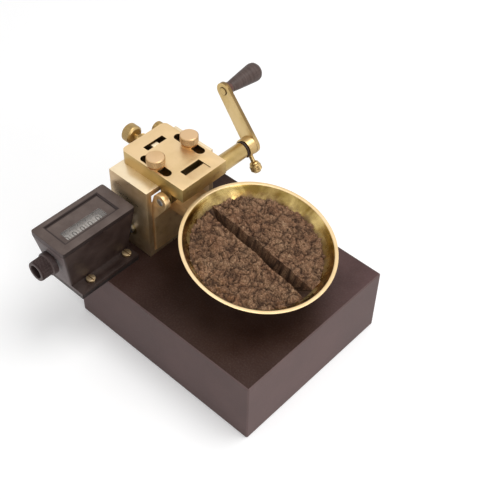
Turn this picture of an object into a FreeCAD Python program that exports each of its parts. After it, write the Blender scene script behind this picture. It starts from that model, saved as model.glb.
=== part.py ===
import FreeCAD, Part
import math
import os
import re
import Sketcher

# Liquid limit device: a brass cup that a hand-cranked cam lifts and drops on a hard rubber base.
# Millimetres. The origin is the centre of the base's underside, +X runs from the mechanism to the
# cup, +Y along the cam shaft to the crank, and +Z is up.

SIZES = {
    # base block
    "base_length": 150.0,
    "base_width": 125.0,
    "base_height": 50.0,
    "base_chamfer": 0.8,
    # brass frame on the base
    "frame_length": 33.4,
    "frame_width": 57.8,
    "frame_height": 55.0,
    "wall": 4.0,
    "deck": 4.0,
    "frame_floor": 3.0,
    # clearances
    "turning_fit": 0.05,
    "working_gap": 0.3,
    "side_gap": 0.7,
    # cam shaft
    "shaft_radius": 3.5,
    "shaft_back": 16.0,
    "shaft_height": 15.0,
    "shaft_left_end": 1.5,
    "counter_spindle_radius": 1.5,
    "cam_low": 5.2,
    "cam_high": 11.0,
    "cam_width": 10.0,
    "cam_step_angle": 40.0,
    "cam_dwell_angle": 150.0,
    "cam_hub_radius": 6.2,
    "cam_hub_width": 6.0,
    "collar_radius": 6.0,
    "collar_width": 4.0,
    "grub_radius": 1.5,
    # bearings
    "bush_radius": 5.5,
    "bush_flange_radius": 7.0,
    "bush_flange": 1.5,
    "sleeve_radius": 6.0,
    "sleeve_length": 50.4,
    "washer_radius": 6.7,
    "washer_thickness": 1.6,
    # crank
    "crank_throw": 41.5,
    "crank_angle": 38.5,
    "hub_radius": 7.0,
    "hub_length": 6.5,
    "arm_width": 14.6,
    "arm_tip_width": 12.2,
    "arm_thickness": 2.6,
    "spindle_radius": 2.0,
    "spindle_head_radius": 2.8,
    "spindle_head": 0.6,
    "handle_length": 31.5,
    "handle_root_radius": 3.9,
    "handle_tip_radius": 6.9,
    "handle_tip_round": 5.0,
    "handle_bore_depth": 24.0,
    "set_screw_radius": 1.6,
    "set_screw_angle": 33.8,
    "set_screw_reach": 16.4,
    "set_screw_ball": 4.2,
    # carriage
    "carriage_length": 54.0,
    "carriage_side_gap": 1.5,
    "carriage_thickness": 10.0,
    "carriage_overhang": 21.3,
    "carriage_corner": 3.5,
    "slot_length": 25.0,
    "slot_width": 6.0,
    "slot_inset": 4.4,
    "slot_back": 27.4,
    "cross_slot_length": 16.0,
    "cross_slot_width": 4.4,
    "front_cross_slot": 10.8,
    "back_cross_slot": 43.2,
    "step_length": 6.0,
    "step_depth": 0.6,
    # hinge
    "hinge_back": 14.9,
    "hinge_drop": 6.0,
    "hinge_radius": 2.5,
    "lug_radius": 4.5,
    "ear_radius": 5.5,
    "lug_width": 6.0,
    # cup hanger yoke
    "yoke_thickness": 3.0,
    "yoke_setback": 1.1,
    "yoke_clearance": 0.8,
    "yoke_top": 8.5,
    "ear_width": 4.0,
    "heel_width": 9.0,
    "heel_height": 7.0,
    "hanger_arm_width": 20.0,
    "hanger_arm_height": 9.0,
    "hanger_arm_drop": 9.5,
    # cup
    "cup_inner_radius": 54.0,
    "cup_wall": 2.0,
    "cup_depth": 27.0,
    "cup_x": 25.1,
    "cup_height": 37.8,
    "cup_tilt": 11.0,
    "rivet_radius": 2.0,
    "rivet_spacing": 11.0,
    "soil_gap": 0.1,
    "soil_below_rim": 6.0,
    "soil_crown": 2.0,
    "groove_top": 9.0,
    "groove_bottom": 2.0,
    # clamp thumb screws
    "clamp_radius": 2.0,
    "clamp_head_radius": 6.0,
    "clamp_head_height": 5.2,
    "clamp_collar_radius": 4.4,
    "clamp_collar_height": 1.4,
    "clamp_washer_radius": 5.2,
    "clamp_washer_thickness": 0.9,
    # adjusting screw
    "adjuster_height": 5.0,
    "adjuster_radius": 2.0,
    "adjuster_knob_radius": 6.3,
    "adjuster_knob_end_radius": 4.0,
    "adjuster_knob_length": 7.5,
    "adjuster_knob_bevel": 1.5,
    "adjuster_gap": 7.3,
    "lock_nut_radius": 4.5,
    "lock_nut_width": 2.6,
    "post_thickness": 2.6,
    "post_width": 5.0,
    "post_head": 2.0,
    "lock_screw_offset": 15.2,
    "lock_screw_radius": 1.5,
    "lock_screw_head_radius": 4.7,
    "lock_screw_head_length": 4.0,
    # counter
    "counter_gap": 3.0,
    "counter_top_length": 57.3,
    "counter_top_width": 30.0,
    "counter_foot_length": 47.0,
    "counter_foot_width": 19.0,
    "counter_height": 36.0,
    "counter_back": 4.5,
    "counter_foot_shift": 0.5,
    "right_lean_share": 0.35,
    "counter_wall": 1.5,
    "bezel_height": 3.2,
    "panel_length": 41.5,
    "panel_width": 19.4,
    "panel_front": 6.4,
    "panel_right": 8.5,
    "case_corner": 1.6,
    "bezel_recess": 1.3,
    "window_length": 31.0,
    "window_width": 7.7,
    "window_thickness": 1.0,
    "window_shift": 2.7,
    "window_slide": 2.0,
    "plate_thickness": 2.5,
    "plate_front": 10.0,
    "flange_thickness": 2.0,
    "wheel_height": 24.5,
    "wheel_radius": 10.3,
    "wheel_gap": 0.4,
    "wheel_shaft_radius": 2.0,
    "drive_teeth": 12.0,
    "transfer_teeth": 36.0,
    "gear_width": 3.0,
    "gear_backlash": 0.16,
    "reset_radius": 6.7,
    "reset_length": 11.8,
    "reset_collar_radius": 7.7,
    "reset_collar": 3.4,
    "reset_hollow_radius": 4.4,
    "reset_hollow_depth": 7.0,
    "case_screw_radius": 1.6,
    "case_screw_head_radius": 3.0,
    "case_screw_head": 1.8,
    "case_screw_inset": 5.2,
    "case_screw_spacing": 30.0,
    "case_screw_forward": 4.5,
    # hidden fixings
    "frame_screw_radius": 2.2,
    "frame_screw_head_radius": 4.2,
    "frame_screw_head": 4.0,
    "frame_screw_sink": 30.0,
    "frame_screw_inset": 7.0,
    "plate_screw_depth": 14.0,
    "plate_screw_spare": 1.0,
}
NUMBER_WHEELS = 5
CAM_ARCS = 8
# a gear tooth's depth under and over the pitch circle, and half its width at its foot and tip, in modules
TOOTH_ROOT, TOOTH_TIP = 1.2, 0.85
TOOTH_FOOT_HALF, TOOTH_TIP_HALF = 0.98, 0.42

doc = FreeCAD.newDocument("liquid_limit_device")
sheet = doc.addObject("Spreadsheet::Sheet", "Sizes")
for row, (alias, value) in enumerate(SIZES.items(), start=1):
    sheet.set("A%d" % row, alias)
    sheet.set("B%d" % row, str(value))
    sheet.setAlias("B%d" % row, alias)
doc.recompute()

PIECES = []
LAID_ALONG = {
    "X": FreeCAD.Rotation(FreeCAD.Vector(0, 1, 0), 90),
    "Y": FreeCAD.Rotation(FreeCAD.Vector(1, 0, 0), -90),
    "Z": FreeCAD.Rotation(),
}

# Places and sizes that several pieces share, as formulas of the sizes.
BASE_TOP = "base_height"
FRAME_BACK = "(-base_length / 2)"
FRAME_FRONT = "(frame_length - base_length / 2)"
FRAME_INSIDE = "(frame_width / 2 - wall)"
DECK_TOP = "(base_height + frame_height)"
SHAFT_X = "(shaft_back - base_length / 2)"
SHAFT_Z = "(base_height + shaft_height)"
CARRIAGE_FRONT = "(frame_length - base_length / 2 + carriage_overhang)"
CARRIAGE_BACK = "(frame_length - base_length / 2 + carriage_overhang - carriage_length)"
HINGE_X = "(%s - hinge_back)" % CARRIAGE_FRONT
HINGE_Z = "(%s - hinge_drop)" % DECK_TOP
YOKE_FRONT = "(%s + yoke_setback)" % FRAME_FRONT
YOKE_HALF = "(frame_width / 2 - wall - side_gap)"
CARRIAGE_WIDTH = "(2 * (frame_width / 2 - wall - side_gap - ear_width - carriage_side_gap))"
SLOT_SPACING = "(%s - 2 * slot_inset)" % CARRIAGE_WIDTH
CLAMP_X = "(%s - slot_back)" % CARRIAGE_FRONT
POST_X = "(%s - back_cross_slot)" % CARRIAGE_FRONT
ARM_BOTTOM = "(%s - hanger_arm_drop - hanger_arm_height)" % HINGE_Z
SLEEVE_END = "(frame_width / 2 - wall + sleeve_length)"
HUB_START = "(%s + washer_thickness + 2 * working_gap)" % SLEEVE_END
ARM_START = "(%s + hub_length)" % HUB_START
ARM_END = "(%s + arm_thickness)" % ARM_START
ADJUSTER_Z = "(%s + adjuster_height)" % DECK_TOP
CASE_RIGHT = "(-frame_width / 2 - counter_gap)"
CASE_BOTTOM = "(base_height + plate_thickness)"
BEZEL_BOTTOM = "(base_height + plate_thickness + counter_height)"
WHEEL_X = "(-base_length / 2 - counter_back + counter_top_width / 2)"
WHEEL_Z = "(base_height + wheel_height)"
WINDOW_Y = "(%s - counter_top_length / 2 - window_slide)" % CASE_RIGHT
# the case's ends lean in by unequal shares of the difference between its top's and its foot's lengths
LEAN = "(counter_top_length - counter_foot_length)"
CASE_FOOT_RIGHT = "(%s - right_lean_share * %s)" % (CASE_RIGHT, LEAN)
RESET_FACE = ("(%s - counter_foot_length - (1 - right_lean_share) * %s / counter_height"
              " * (wheel_height - plate_thickness + reset_collar_radius) - working_gap)") % (CASE_FOOT_RIGHT, LEAN)
GEAR_START = "(%s + window_length / 2 + wheel_gap)" % WINDOW_Y


def sheet_words(text):
    """The same formula with each size written as a reference to its cell."""
    return re.sub(r"[a-z]\w*", lambda word: "Sizes." + word.group() if word.group() in SIZES else word.group(), text)


def number(text):
    """The value of a formula of the sizes, for the shapes that are made in code."""
    names = dict((word, sheet.get(word)) for word in set(re.findall(r"[a-z]\w*", text)) if word in SIZES)
    for word in sorted(names, key=len, reverse=True):
        text = re.sub(r"\b%s\b" % word, "(%r)" % float(names[word]), text)
    return float(FreeCAD.Units.Quantity(text))


def bind(thing, **formulas):
    for name, formula in formulas.items():
        thing.setExpression(name.replace("__", "."), sheet_words(formula))


def put(thing, x="0", y="0", z="0"):
    bind(thing, Placement__Base__x=x, Placement__Base__y=y, Placement__Base__z=z)
    return thing


def box(length, width, height, x="0", y="0", z="0"):
    """A block from its lowest corner."""
    block = doc.addObject("Part::Box", "Block")
    bind(block, Length=length, Width=width, Height=height)
    return put(block, x, y, z)


def mid_box(length, width, height, x="0", y="0", z="0"):
    """A block centred across Y."""
    return box(length, width, height, x, "%s - (%s) / 2" % (y, width), z)


def rod(axis, radius, length, x="0", y="0", z="0"):
    """A round bar from the middle of one end, along an axis."""
    bar = doc.addObject("Part::Cylinder", "Bar")
    bar.Placement.Rotation = LAID_ALONG[axis]
    bind(bar, Radius=radius, Height=length)
    return put(bar, x, y, z)


def cone(axis, radius, end_radius, length, x="0", y="0", z="0"):
    taper = doc.addObject("Part::Cone", "Taper")
    taper.Placement.Rotation = LAID_ALONG[axis]
    bind(taper, Radius1=radius, Radius2=end_radius, Height=length)
    return put(taper, x, y, z)


def ball(radius, x="0", y="0", z="0"):
    sphere = doc.addObject("Part::Sphere", "Ball")
    bind(sphere, Radius=radius)
    return put(sphere, x, y, z)


def fuse(*things):
    if len(things) == 1:
        return things[0]
    joined = doc.addObject("Part::MultiFuse", "Joined")
    joined.Shapes = list(things)
    return joined


def cut(base, *tools):
    rest = doc.addObject("Part::Cut", "Rest")
    rest.Base = base
    rest.Tool = fuse(*tools)
    return rest


def common(first, second):
    shared = doc.addObject("Part::Common", "Shared")
    shared.Base = first
    shared.Tool = second
    return shared


def moved(thing, x, y, z):
    """The thing in a compound that is moved as a whole."""
    holder = doc.addObject("Part::Compound", "Moved")
    holder.Links = [thing]
    return put(holder, x, y, z)


def turned(thing, axis, angle, x="0", y="0", z="0"):
    """The thing in a compound that is turned about an axis through a point of the frame."""
    holder = moved(thing, x, y, z)
    holder.Placement.Rotation = FreeCAD.Rotation(FreeCAD.Vector(*axis), 1)
    bind(holder, Placement__Rotation__Angle=angle)
    return holder


def made(label, solid):
    """A shape that is made in code, as a feature."""
    feature = doc.addObject("Part::Feature", "Made")
    feature.Shape = solid
    return keep(label, feature) if label else feature


def keep(label, thing):
    thing.Label = label
    PIECES.append(thing)
    return thing


def group(label, *things):
    """Like pieces that share one node as separate solids."""
    compound = doc.addObject("Part::Compound", "Group")
    compound.Links = list(things)
    return keep(label, compound)


# Base block and frame


def frame_screw_places():
    for x in ("%s + frame_screw_inset" % FRAME_BACK, "%s - frame_screw_inset" % FRAME_FRONT):
        for side in ("-1", "1"):
            yield x, "%s * (%s - frame_screw_inset)" % (side, FRAME_INSIDE)


def plate_screw_places():
    for y in ("%s - counter_foot_length / 4" % CASE_RIGHT, "%s - counter_foot_length / 2" % CASE_RIGHT):
        yield WHEEL_X, y


def base_block():
    body = doc.addObject("PartDesign::Body", "BaseBlock")
    origin = {plane.Role: plane for plane in body.Origin.OriginFeatures}
    outline = body.newObject("Sketcher::SketchObject", "BaseOutline")
    outline.AttachmentSupport = [(origin["XY_Plane"], "")]
    outline.MapMode = "FlatFace"
    half_length, half_width = number("base_length / 2"), number("base_width / 2")
    corners = [(-1, -1), (1, -1), (1, 1), (-1, 1)]
    for (ax, ay), (bx, by) in zip(corners, corners[1:] + corners[:1]):
        start = FreeCAD.Vector(ax * half_length, ay * half_width, 0)
        end = FreeCAD.Vector(bx * half_length, by * half_width, 0)
        outline.addGeometry(Part.LineSegment(start, end))
    sketch_rules(outline)
    pad = body.newObject("PartDesign::Pad", "BasePad")
    pad.Profile = outline
    bind(pad, Length="base_height")
    doc.recompute()
    chamfer = body.newObject("PartDesign::Chamfer", "BaseChamfer")
    chamfer.Base = (pad, ["Edge%d" % (n + 1) for n in range(len(pad.Shape.Edges))])
    bind(chamfer, Size="base_chamfer")
    holes = []
    for x, y in frame_screw_places():
        holes.append(rod("Z", "frame_screw_radius + turning_fit", "base_height * 2", x, y, "-base_height / 2"))
        holes.append(rod("Z", "frame_screw_head_radius + working_gap", "frame_screw_sink", x, y))
    for x, y in plate_screw_places():
        holes.append(rod("Z", "case_screw_radius + turning_fit", "plate_screw_depth * 2", x, y,
                         "base_height - plate_screw_depth"))
    keep("base_block", cut(body, *holes))


def sketch_rules(outline):
    """Ties a four-sided outline to the base's length and width about the origin."""
    for edge in range(4):
        outline.addConstraint(Sketcher.Constraint("Coincident", edge, 2, (edge + 1) % 4, 1))
    outline.addConstraint(Sketcher.Constraint("Horizontal", 0))
    outline.addConstraint(Sketcher.Constraint("Horizontal", 2))
    outline.addConstraint(Sketcher.Constraint("Vertical", 1))
    outline.addConstraint(Sketcher.Constraint("Vertical", 3))
    outline.addConstraint(Sketcher.Constraint("Symmetric", 0, 1, 1, 2, -1, 1))
    length = outline.addConstraint(Sketcher.Constraint("DistanceX", 0, 1, 0, 2, number("base_length")))
    width = outline.addConstraint(Sketcher.Constraint("DistanceY", 1, 1, 1, 2, number("base_width")))
    outline.setExpression("Constraints[%d]" % length, sheet_words("base_length"))
    outline.setExpression("Constraints[%d]" % width, sheet_words("base_width"))


def frame_casting():
    shell = mid_box("frame_length", "frame_width", "frame_height", FRAME_BACK, "0", BASE_TOP)
    inside = mid_box("frame_length * 2", "2 * " + FRAME_INSIDE, "frame_height - deck - frame_floor",
                     "%s - frame_length / 2" % FRAME_BACK, "0", "base_height + frame_floor")
    tools = [inside]
    tools.append(rod("Y", "bush_radius", "wall * 2", SHAFT_X, "-frame_width / 2 - wall / 2", SHAFT_Z))
    tools.append(rod("Y", "sleeve_radius", "wall * 2", SHAFT_X, FRAME_INSIDE + " - wall / 2", SHAFT_Z))
    for side in ("-1", "1"):
        tools.append(rod("Z", "clamp_radius + turning_fit", "deck * 2", CLAMP_X, side + " * %s / 2" % SLOT_SPACING,
                         "%s - deck * 1.5" % DECK_TOP))
    for x, y in frame_screw_places():
        tools.append(rod("Z", "frame_screw_radius + turning_fit", "frame_floor * 2", x, y,
                         "base_height - frame_floor / 2"))
    keep("frame_casting", cut(shell, *tools))


def frame_screws():
    screws = []
    for x, y in frame_screw_places():
        head = rod("Z", "frame_screw_head_radius", "frame_screw_head", x, y, "frame_screw_sink - frame_screw_head")
        shank = rod("Z", "frame_screw_radius", "base_height + frame_floor - frame_screw_sink", x, y,
                    "frame_screw_sink")
        screws.append(fuse(head, shank))
    group("frame_screws", *screws)


# Cam shaft and what turns with it


def cam_outline_point(degrees):
    """A point of the snail cam's edge, that many degrees on from its step.

    The radius stays low for a while, then grows smoothly to the step, where the cup drops.
    """
    low = number("cam_low")
    high = number("cam_high")
    dwell = number("cam_dwell_angle")
    rise = max(0.0, (degrees - dwell) / (360 - dwell))
    radius = low + (high - low) * (1 - math.cos(math.pi * rise)) / 2
    angle = math.radians(degrees - number("cam_step_angle"))
    return FreeCAD.Vector(radius * math.cos(angle), 0, radius * math.sin(angle))


def snail_cam():
    dwell = number("cam_dwell_angle")
    stops = [0, dwell] + [dwell + (360 - dwell) * arc / CAM_ARCS for arc in range(1, CAM_ARCS + 1)]
    edges = []
    for start, end in zip(stops, stops[1:]):
        edges.append(Part.Arc(*[cam_outline_point(part) for part in (start, (start + end) / 2, end)]).toShape())
    edges.append(Part.makeLine(cam_outline_point(360), cam_outline_point(0)))
    face = Part.Face(Part.Wire(edges))
    width = number("cam_width")
    solid = face.extrude(FreeCAD.Vector(0, width, 0))
    solid.translate(FreeCAD.Vector(number(SHAFT_X), -width / 2, number(SHAFT_Z)))
    disc = made("", solid)
    hub = rod("Y", "cam_hub_radius", "cam_hub_width", SHAFT_X, "cam_width / 2", SHAFT_Z)
    bore = rod("Y", "shaft_radius", "cam_width * 4", SHAFT_X, "-cam_width * 2", SHAFT_Z)
    tapped = rod("Z", "grub_radius", "cam_hub_radius", SHAFT_X, "(cam_width + cam_hub_width) / 2", SHAFT_Z)
    keep("snail_cam", cut(fuse(disc, hub), bore, tapped))
    grub = rod("Z", "grub_radius", "cam_hub_radius - shaft_radius - working_gap", SHAFT_X,
               "(cam_width + cam_hub_width) / 2", "%s + shaft_radius" % SHAFT_Z)
    keep("cam_grub_screw", grub)


def cam_shaft():
    """The shaft runs from the crank to the frame's left wall; its thin end drives the counter."""
    left = "(-frame_width / 2 - shaft_left_end)"
    bar = rod("Y", "shaft_radius", "%s - %s" % (ARM_END, left), SHAFT_X, left, SHAFT_Z)
    spindle = rod("Y", "counter_spindle_radius", "%s - %s" % (left, GEAR_START), SHAFT_X, GEAR_START, SHAFT_Z)
    keep("cam_shaft", fuse(bar, spindle))
    inner = "(-%s + bush_flange + working_gap)" % FRAME_INSIDE
    ring = cut(rod("Y", "collar_radius", "collar_width", SHAFT_X, inner, SHAFT_Z),
               rod("Y", "shaft_radius", "collar_width * 3", SHAFT_X, inner + " - collar_width", SHAFT_Z))
    keep("shaft_collar", ring)


def bearings():
    y = "-frame_width / 2"
    body = rod("Y", "bush_radius", "wall", SHAFT_X, y, SHAFT_Z)
    flange = rod("Y", "bush_flange_radius", "bush_flange", SHAFT_X, "-" + FRAME_INSIDE, SHAFT_Z)
    bore = rod("Y", "shaft_radius + turning_fit", "wall * 4", SHAFT_X, y + " - wall", SHAFT_Z)
    keep("left_bush", cut(fuse(body, flange), bore))
    body = rod("Y", "sleeve_radius", "sleeve_length", SHAFT_X, FRAME_INSIDE, SHAFT_Z)
    bore = rod("Y", "shaft_radius + turning_fit", "sleeve_length * 2", SHAFT_X,
               "%s - sleeve_length / 2" % FRAME_INSIDE, SHAFT_Z)
    keep("bearing_sleeve", cut(body, bore))
    start = "(%s + working_gap)" % SLEEVE_END
    disc = rod("Y", "washer_radius", "washer_thickness", SHAFT_X, start, SHAFT_Z)
    hole = rod("Y", "shaft_radius + turning_fit", "washer_thickness * 3", SHAFT_X,
               start + " - washer_thickness", SHAFT_Z)
    keep("thrust_washer", cut(disc, hole))


def crank():
    lower = rod("Y", "arm_width / 2", "arm_thickness", z="0")
    upper = rod("Y", "arm_tip_width / 2", "arm_thickness", z="crank_throw")
    half, tip = number("arm_width / 2"), number("arm_tip_width / 2")
    throw, thick = number("crank_throw"), number("arm_thickness")
    lean = math.asin((half - tip) / throw)
    foot = (half * math.cos(lean), half * math.sin(lean))
    head = (tip * math.cos(lean), throw + tip * math.sin(lean))
    corners = [(-foot[0], foot[1]), foot, head, (-head[0], head[1])]
    outline = Part.makePolygon([FreeCAD.Vector(x, 0, z) for x, z in corners + corners[:1]])
    web = made("", Part.Face(outline).extrude(FreeCAD.Vector(0, thick, 0)))
    hub = rod("Y", "hub_radius", "hub_length", y="-hub_length")
    bore = rod("Y", "shaft_radius", "hub_length * 4", y="-hub_length * 2")
    eye = rod("Y", "spindle_radius", "arm_thickness * 3", y="-arm_thickness", z="crank_throw")
    tapped = turned(rod("Z", "set_screw_radius + turning_fit", "hub_radius * 2", y="-hub_length / 2"),
                    (0, 1, 0), "180 - set_screw_angle + crank_angle")
    arm = cut(fuse(lower, upper, web, hub), bore, eye, tapped)
    keep("crank_arm", turned(arm, (0, 1, 0), "-crank_angle", SHAFT_X, ARM_START, SHAFT_Z))


def set_screw():
    shank = rod("Z", "set_screw_radius", "set_screw_reach - shaft_radius - turning_fit",
                z="shaft_radius + turning_fit")
    head = ball("set_screw_ball", z="set_screw_reach")
    screw = turned(fuse(shank, head), (0, 1, 0), "180 - set_screw_angle", SHAFT_X,
                   "%s - hub_length / 2" % ARM_START, SHAFT_Z)
    keep("crank_set_screw", screw)


def handle():
    pin = rod("Y", "spindle_radius", "arm_thickness + handle_bore_depth")
    rivet = rod("Y", "spindle_head_radius", "spindle_head", y="-spindle_head")
    stop = rod("Y", "spindle_head_radius", "spindle_head", y="arm_thickness")
    x = "%s - crank_throw * sin(crank_angle * 1 deg)" % SHAFT_X
    z = "%s + crank_throw * cos(crank_angle * 1 deg)" % SHAFT_Z
    keep("handle_spindle", moved(fuse(pin, rivet, stop), x, ARM_START, z))
    start = "(arm_thickness + spindle_head + working_gap)"
    taper = cone("Y", "handle_root_radius", "handle_tip_radius", "handle_length - handle_tip_round", y=start)
    tip = cone("Y", "handle_tip_radius", "handle_tip_radius - handle_tip_round / 2", "handle_tip_round",
               y="%s + handle_length - handle_tip_round" % start)
    bore = rod("Y", "spindle_radius + turning_fit", "handle_bore_depth * 2",
               y="%s - handle_bore_depth" % start)
    keep("crank_handle", moved(cut(fuse(taper, tip), bore), x, ARM_START, z))


# Carriage, hinge and adjusting gear

def long_slot(side):
    y = side + " * %s / 2" % SLOT_SPACING
    straight = "(slot_length - slot_width)"
    low = "%s - 0.5 * carriage_thickness" % DECK_TOP
    depth = "carriage_thickness * 2"
    middle = mid_box(straight, "slot_width", depth, "%s - %s / 2" % (CLAMP_X, straight), y, low)
    ends = [rod("Z", "slot_width / 2", depth, "%s %s %s / 2" % (CLAMP_X, sign, straight), y, low) for sign in "-+"]
    return fuse(middle, *ends)


def cross_slot(back):
    return mid_box("cross_slot_width", "cross_slot_length", "carriage_thickness * 2",
                   "%s - %s - cross_slot_width / 2" % (CARRIAGE_FRONT, back), "0",
                   "%s - 0.5 * carriage_thickness" % DECK_TOP)


def lug(side):
    """One hinge lug under the carriage's front, flush with its side."""
    y = "%s * (%s - lug_width) / 2 - lug_width / 2" % (side, CARRIAGE_WIDTH)
    eye = rod("Y", "lug_radius", "lug_width", HINGE_X, y, HINGE_Z)
    neck = box("lug_radius * 2", "lug_width", "hinge_drop", HINGE_X + " - lug_radius", y, HINGE_Z)
    return fuse(eye, neck)


def carriage():
    plate = doc.addObject("Part::Box", "CarriagePlate")
    bind(plate, Length="carriage_length", Width=CARRIAGE_WIDTH, Height="carriage_thickness")
    put(plate, CARRIAGE_BACK, "-%s / 2" % CARRIAGE_WIDTH, DECK_TOP)
    doc.recompute()
    middle = number(CLAMP_X)
    upright = [n + 1 for n, edge in enumerate(plate.Shape.Edges) if is_upright(edge) and edge.CenterOfMass.x < middle]
    rounded = doc.addObject("Part::Fillet", "CarriageCorners")
    rounded.Base = plate
    radius = number("carriage_corner")
    rounded.Edges = [(edge, radius, radius) for edge in upright]
    solid = fuse(rounded, lug("-1"), lug("1"))
    step = mid_box("step_length + cross_slot_width / 2", "cross_slot_length", "step_depth * 2",
                   "%s - front_cross_slot" % CARRIAGE_FRONT, "0", "%s + carriage_thickness - step_depth" % DECK_TOP)
    tools = [long_slot("-1"), long_slot("1"), cross_slot("front_cross_slot"), cross_slot("back_cross_slot"), step]
    tools.append(rod("Y", "hinge_radius", "frame_width * 2", HINGE_X, "-frame_width", HINGE_Z))
    for radius, y in (("adjuster_radius", "0"), ("lock_screw_radius", "lock_screw_offset")):
        tools.append(rod("X", radius + " + turning_fit", "adjuster_gap + carriage_length - back_cross_slot",
                         CARRIAGE_BACK + " - adjuster_gap", y, ADJUSTER_Z))
    keep("carriage_plate", cut(solid, *tools))
    keep("hinge_pin", rod("Y", "hinge_radius", "2 * " + YOKE_HALF, HINGE_X, "-" + YOKE_HALF, HINGE_Z))


def is_upright(edge):
    ends = [vertex.Point for vertex in edge.Vertexes]
    return abs(ends[0].x - ends[-1].x) + abs(ends[0].y - ends[-1].y) < 1e-6


def clamp_screw(label, side):
    """A knurled thumb screw that clamps the carriage to the deck, standing on its washer."""
    y = side + " * %s / 2" % SLOT_SPACING
    top = "(%s + carriage_thickness)" % DECK_TOP
    ring = cut(rod("Z", "clamp_washer_radius", "clamp_washer_thickness", CLAMP_X, y, top),
               rod("Z", "clamp_radius + turning_fit", "clamp_washer_thickness * 3", CLAMP_X, y,
                   top + " - clamp_washer_thickness"))
    seat = "(%s + clamp_washer_thickness)" % top
    shank = rod("Z", "clamp_radius", "clamp_washer_thickness + carriage_thickness + deck", CLAMP_X, y,
                "%s - deck" % DECK_TOP)
    collar = rod("Z", "clamp_collar_radius", "clamp_collar_height", CLAMP_X, y, seat)
    head = rod("Z", "clamp_head_radius", "clamp_head_height", CLAMP_X, y, seat + " + clamp_collar_height")
    keep(label, fuse(shank, collar, head))
    return ring


def adjusting_gear():
    slot_wall = "(%s - back_cross_slot - cross_slot_width / 2)" % CARRIAGE_FRONT
    post = mid_box("post_thickness", "post_width", "adjuster_height + adjuster_radius + post_head",
                   POST_X + " - post_thickness / 2", "0", DECK_TOP)
    eye = rod("X", "adjuster_radius + turning_fit", "post_thickness * 3", POST_X + " - post_thickness * 1.5", "0",
              ADJUSTER_Z)
    keep("adjusting_post", cut(post, eye))
    end = "(%s + post_thickness / 2 + working_gap)" % POST_X
    knob_back = "(%s - adjuster_gap - adjuster_knob_length)" % CARRIAGE_BACK
    shank = rod("X", "adjuster_radius", "%s - %s" % (end, knob_back), knob_back, "0", ADJUSTER_Z)
    barrel = rod("X", "adjuster_knob_radius", "adjuster_knob_length - 2 * adjuster_knob_bevel",
                 knob_back + " + adjuster_knob_bevel", "0", ADJUSTER_Z)
    front = cone("X", "adjuster_knob_radius", "adjuster_knob_end_radius", "adjuster_knob_bevel",
                 knob_back + " + adjuster_knob_length - adjuster_knob_bevel", "0", ADJUSTER_Z)
    back = cone("X", "adjuster_knob_end_radius", "adjuster_knob_radius", "adjuster_knob_bevel", knob_back, "0",
                ADJUSTER_Z)
    keep("adjusting_screw", fuse(shank, barrel, front, back))
    nut_x = "(%s - lock_nut_width - working_gap)" % CARRIAGE_BACK
    ring = rod("X", "lock_nut_radius", "lock_nut_width", nut_x, "0", ADJUSTER_Z)
    hole = rod("X", "adjuster_radius + turning_fit", "lock_nut_width * 3", nut_x + " - lock_nut_width", "0", ADJUSTER_Z)
    keep("adjuster_lock_nut", cut(ring, hole))
    head_x = "(%s - lock_screw_head_length - working_gap)" % CARRIAGE_BACK
    head = rod("X", "lock_screw_head_radius", "lock_screw_head_length", head_x, "lock_screw_offset", ADJUSTER_Z)
    shank = rod("X", "lock_screw_radius", "%s - %s" % (slot_wall, head_x), head_x, "lock_screw_offset", ADJUSTER_Z)
    keep("lock_screw", fuse(head, shank))


# Cup hanger and cup


def yoke():
    foot = "(base_height + frame_floor + yoke_clearance)"
    plate_top = "(%s - yoke_top)" % HINGE_Z
    plate = mid_box("yoke_thickness", "2 * " + YOKE_HALF, "%s - %s" % (plate_top, foot),
                    YOKE_FRONT + " - yoke_thickness", "0", foot)
    parts = [plate]
    for side in ("-1", "1"):
        y = "%s * (%s - ear_width / 2) - ear_width / 2" % (side, YOKE_HALF)
        eye = rod("Y", "ear_radius", "ear_width", HINGE_X, y, HINGE_Z)
        parts += [eye, ear_web(side)]
    bores = [rod("Y", "hinge_radius + turning_fit", "frame_width", HINGE_X, "-frame_width / 2", HINGE_Z)]
    for y in rivet_places():
        bores.append(rod("X", "rivet_radius + turning_fit", "yoke_thickness * 4", YOKE_FRONT + " - yoke_thickness * 2",
                         y, ARM_BOTTOM + " + hanger_arm_height / 2"))
    keep("hanger_yoke", cut(fuse(*parts), *bores))
    heel_x = "(%s + cam_high + working_gap / 2)" % SHAFT_X
    heel = mid_box("%s - yoke_thickness - %s" % (YOKE_FRONT, heel_x), "heel_width", "heel_height", heel_x, "0",
                   SHAFT_Z + " - heel_height / 2")
    keep("cam_follower", heel)


def ear_web(side):
    """The neck from the yoke's plate up to its hinge eye, tangent to the eye on both sides."""
    x, z, radius = number(HINGE_X), number(HINGE_Z), number("ear_radius")
    plate_top = number("%s - yoke_top" % HINGE_Z)
    back = number(YOKE_FRONT + " - yoke_thickness")
    front = number(YOKE_FRONT)
    low_back = (back, plate_top - number("yoke_top"))
    low_front = (front, plate_top - number("yoke_top"))
    corners = [low_front, tangent_point(low_front, (x, z), radius, 1),
               tangent_point((back, plate_top), (x, z), radius, -1), (back, plate_top), low_back]
    width = number("ear_width")
    y = number("%s * (%s - ear_width / 2) - ear_width / 2" % (side, YOKE_HALF))
    outline = Part.makePolygon([FreeCAD.Vector(px, y, pz) for px, pz in corners + corners[:1]])
    return made("", Part.Face(outline).extrude(FreeCAD.Vector(0, width, 0)))


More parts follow.
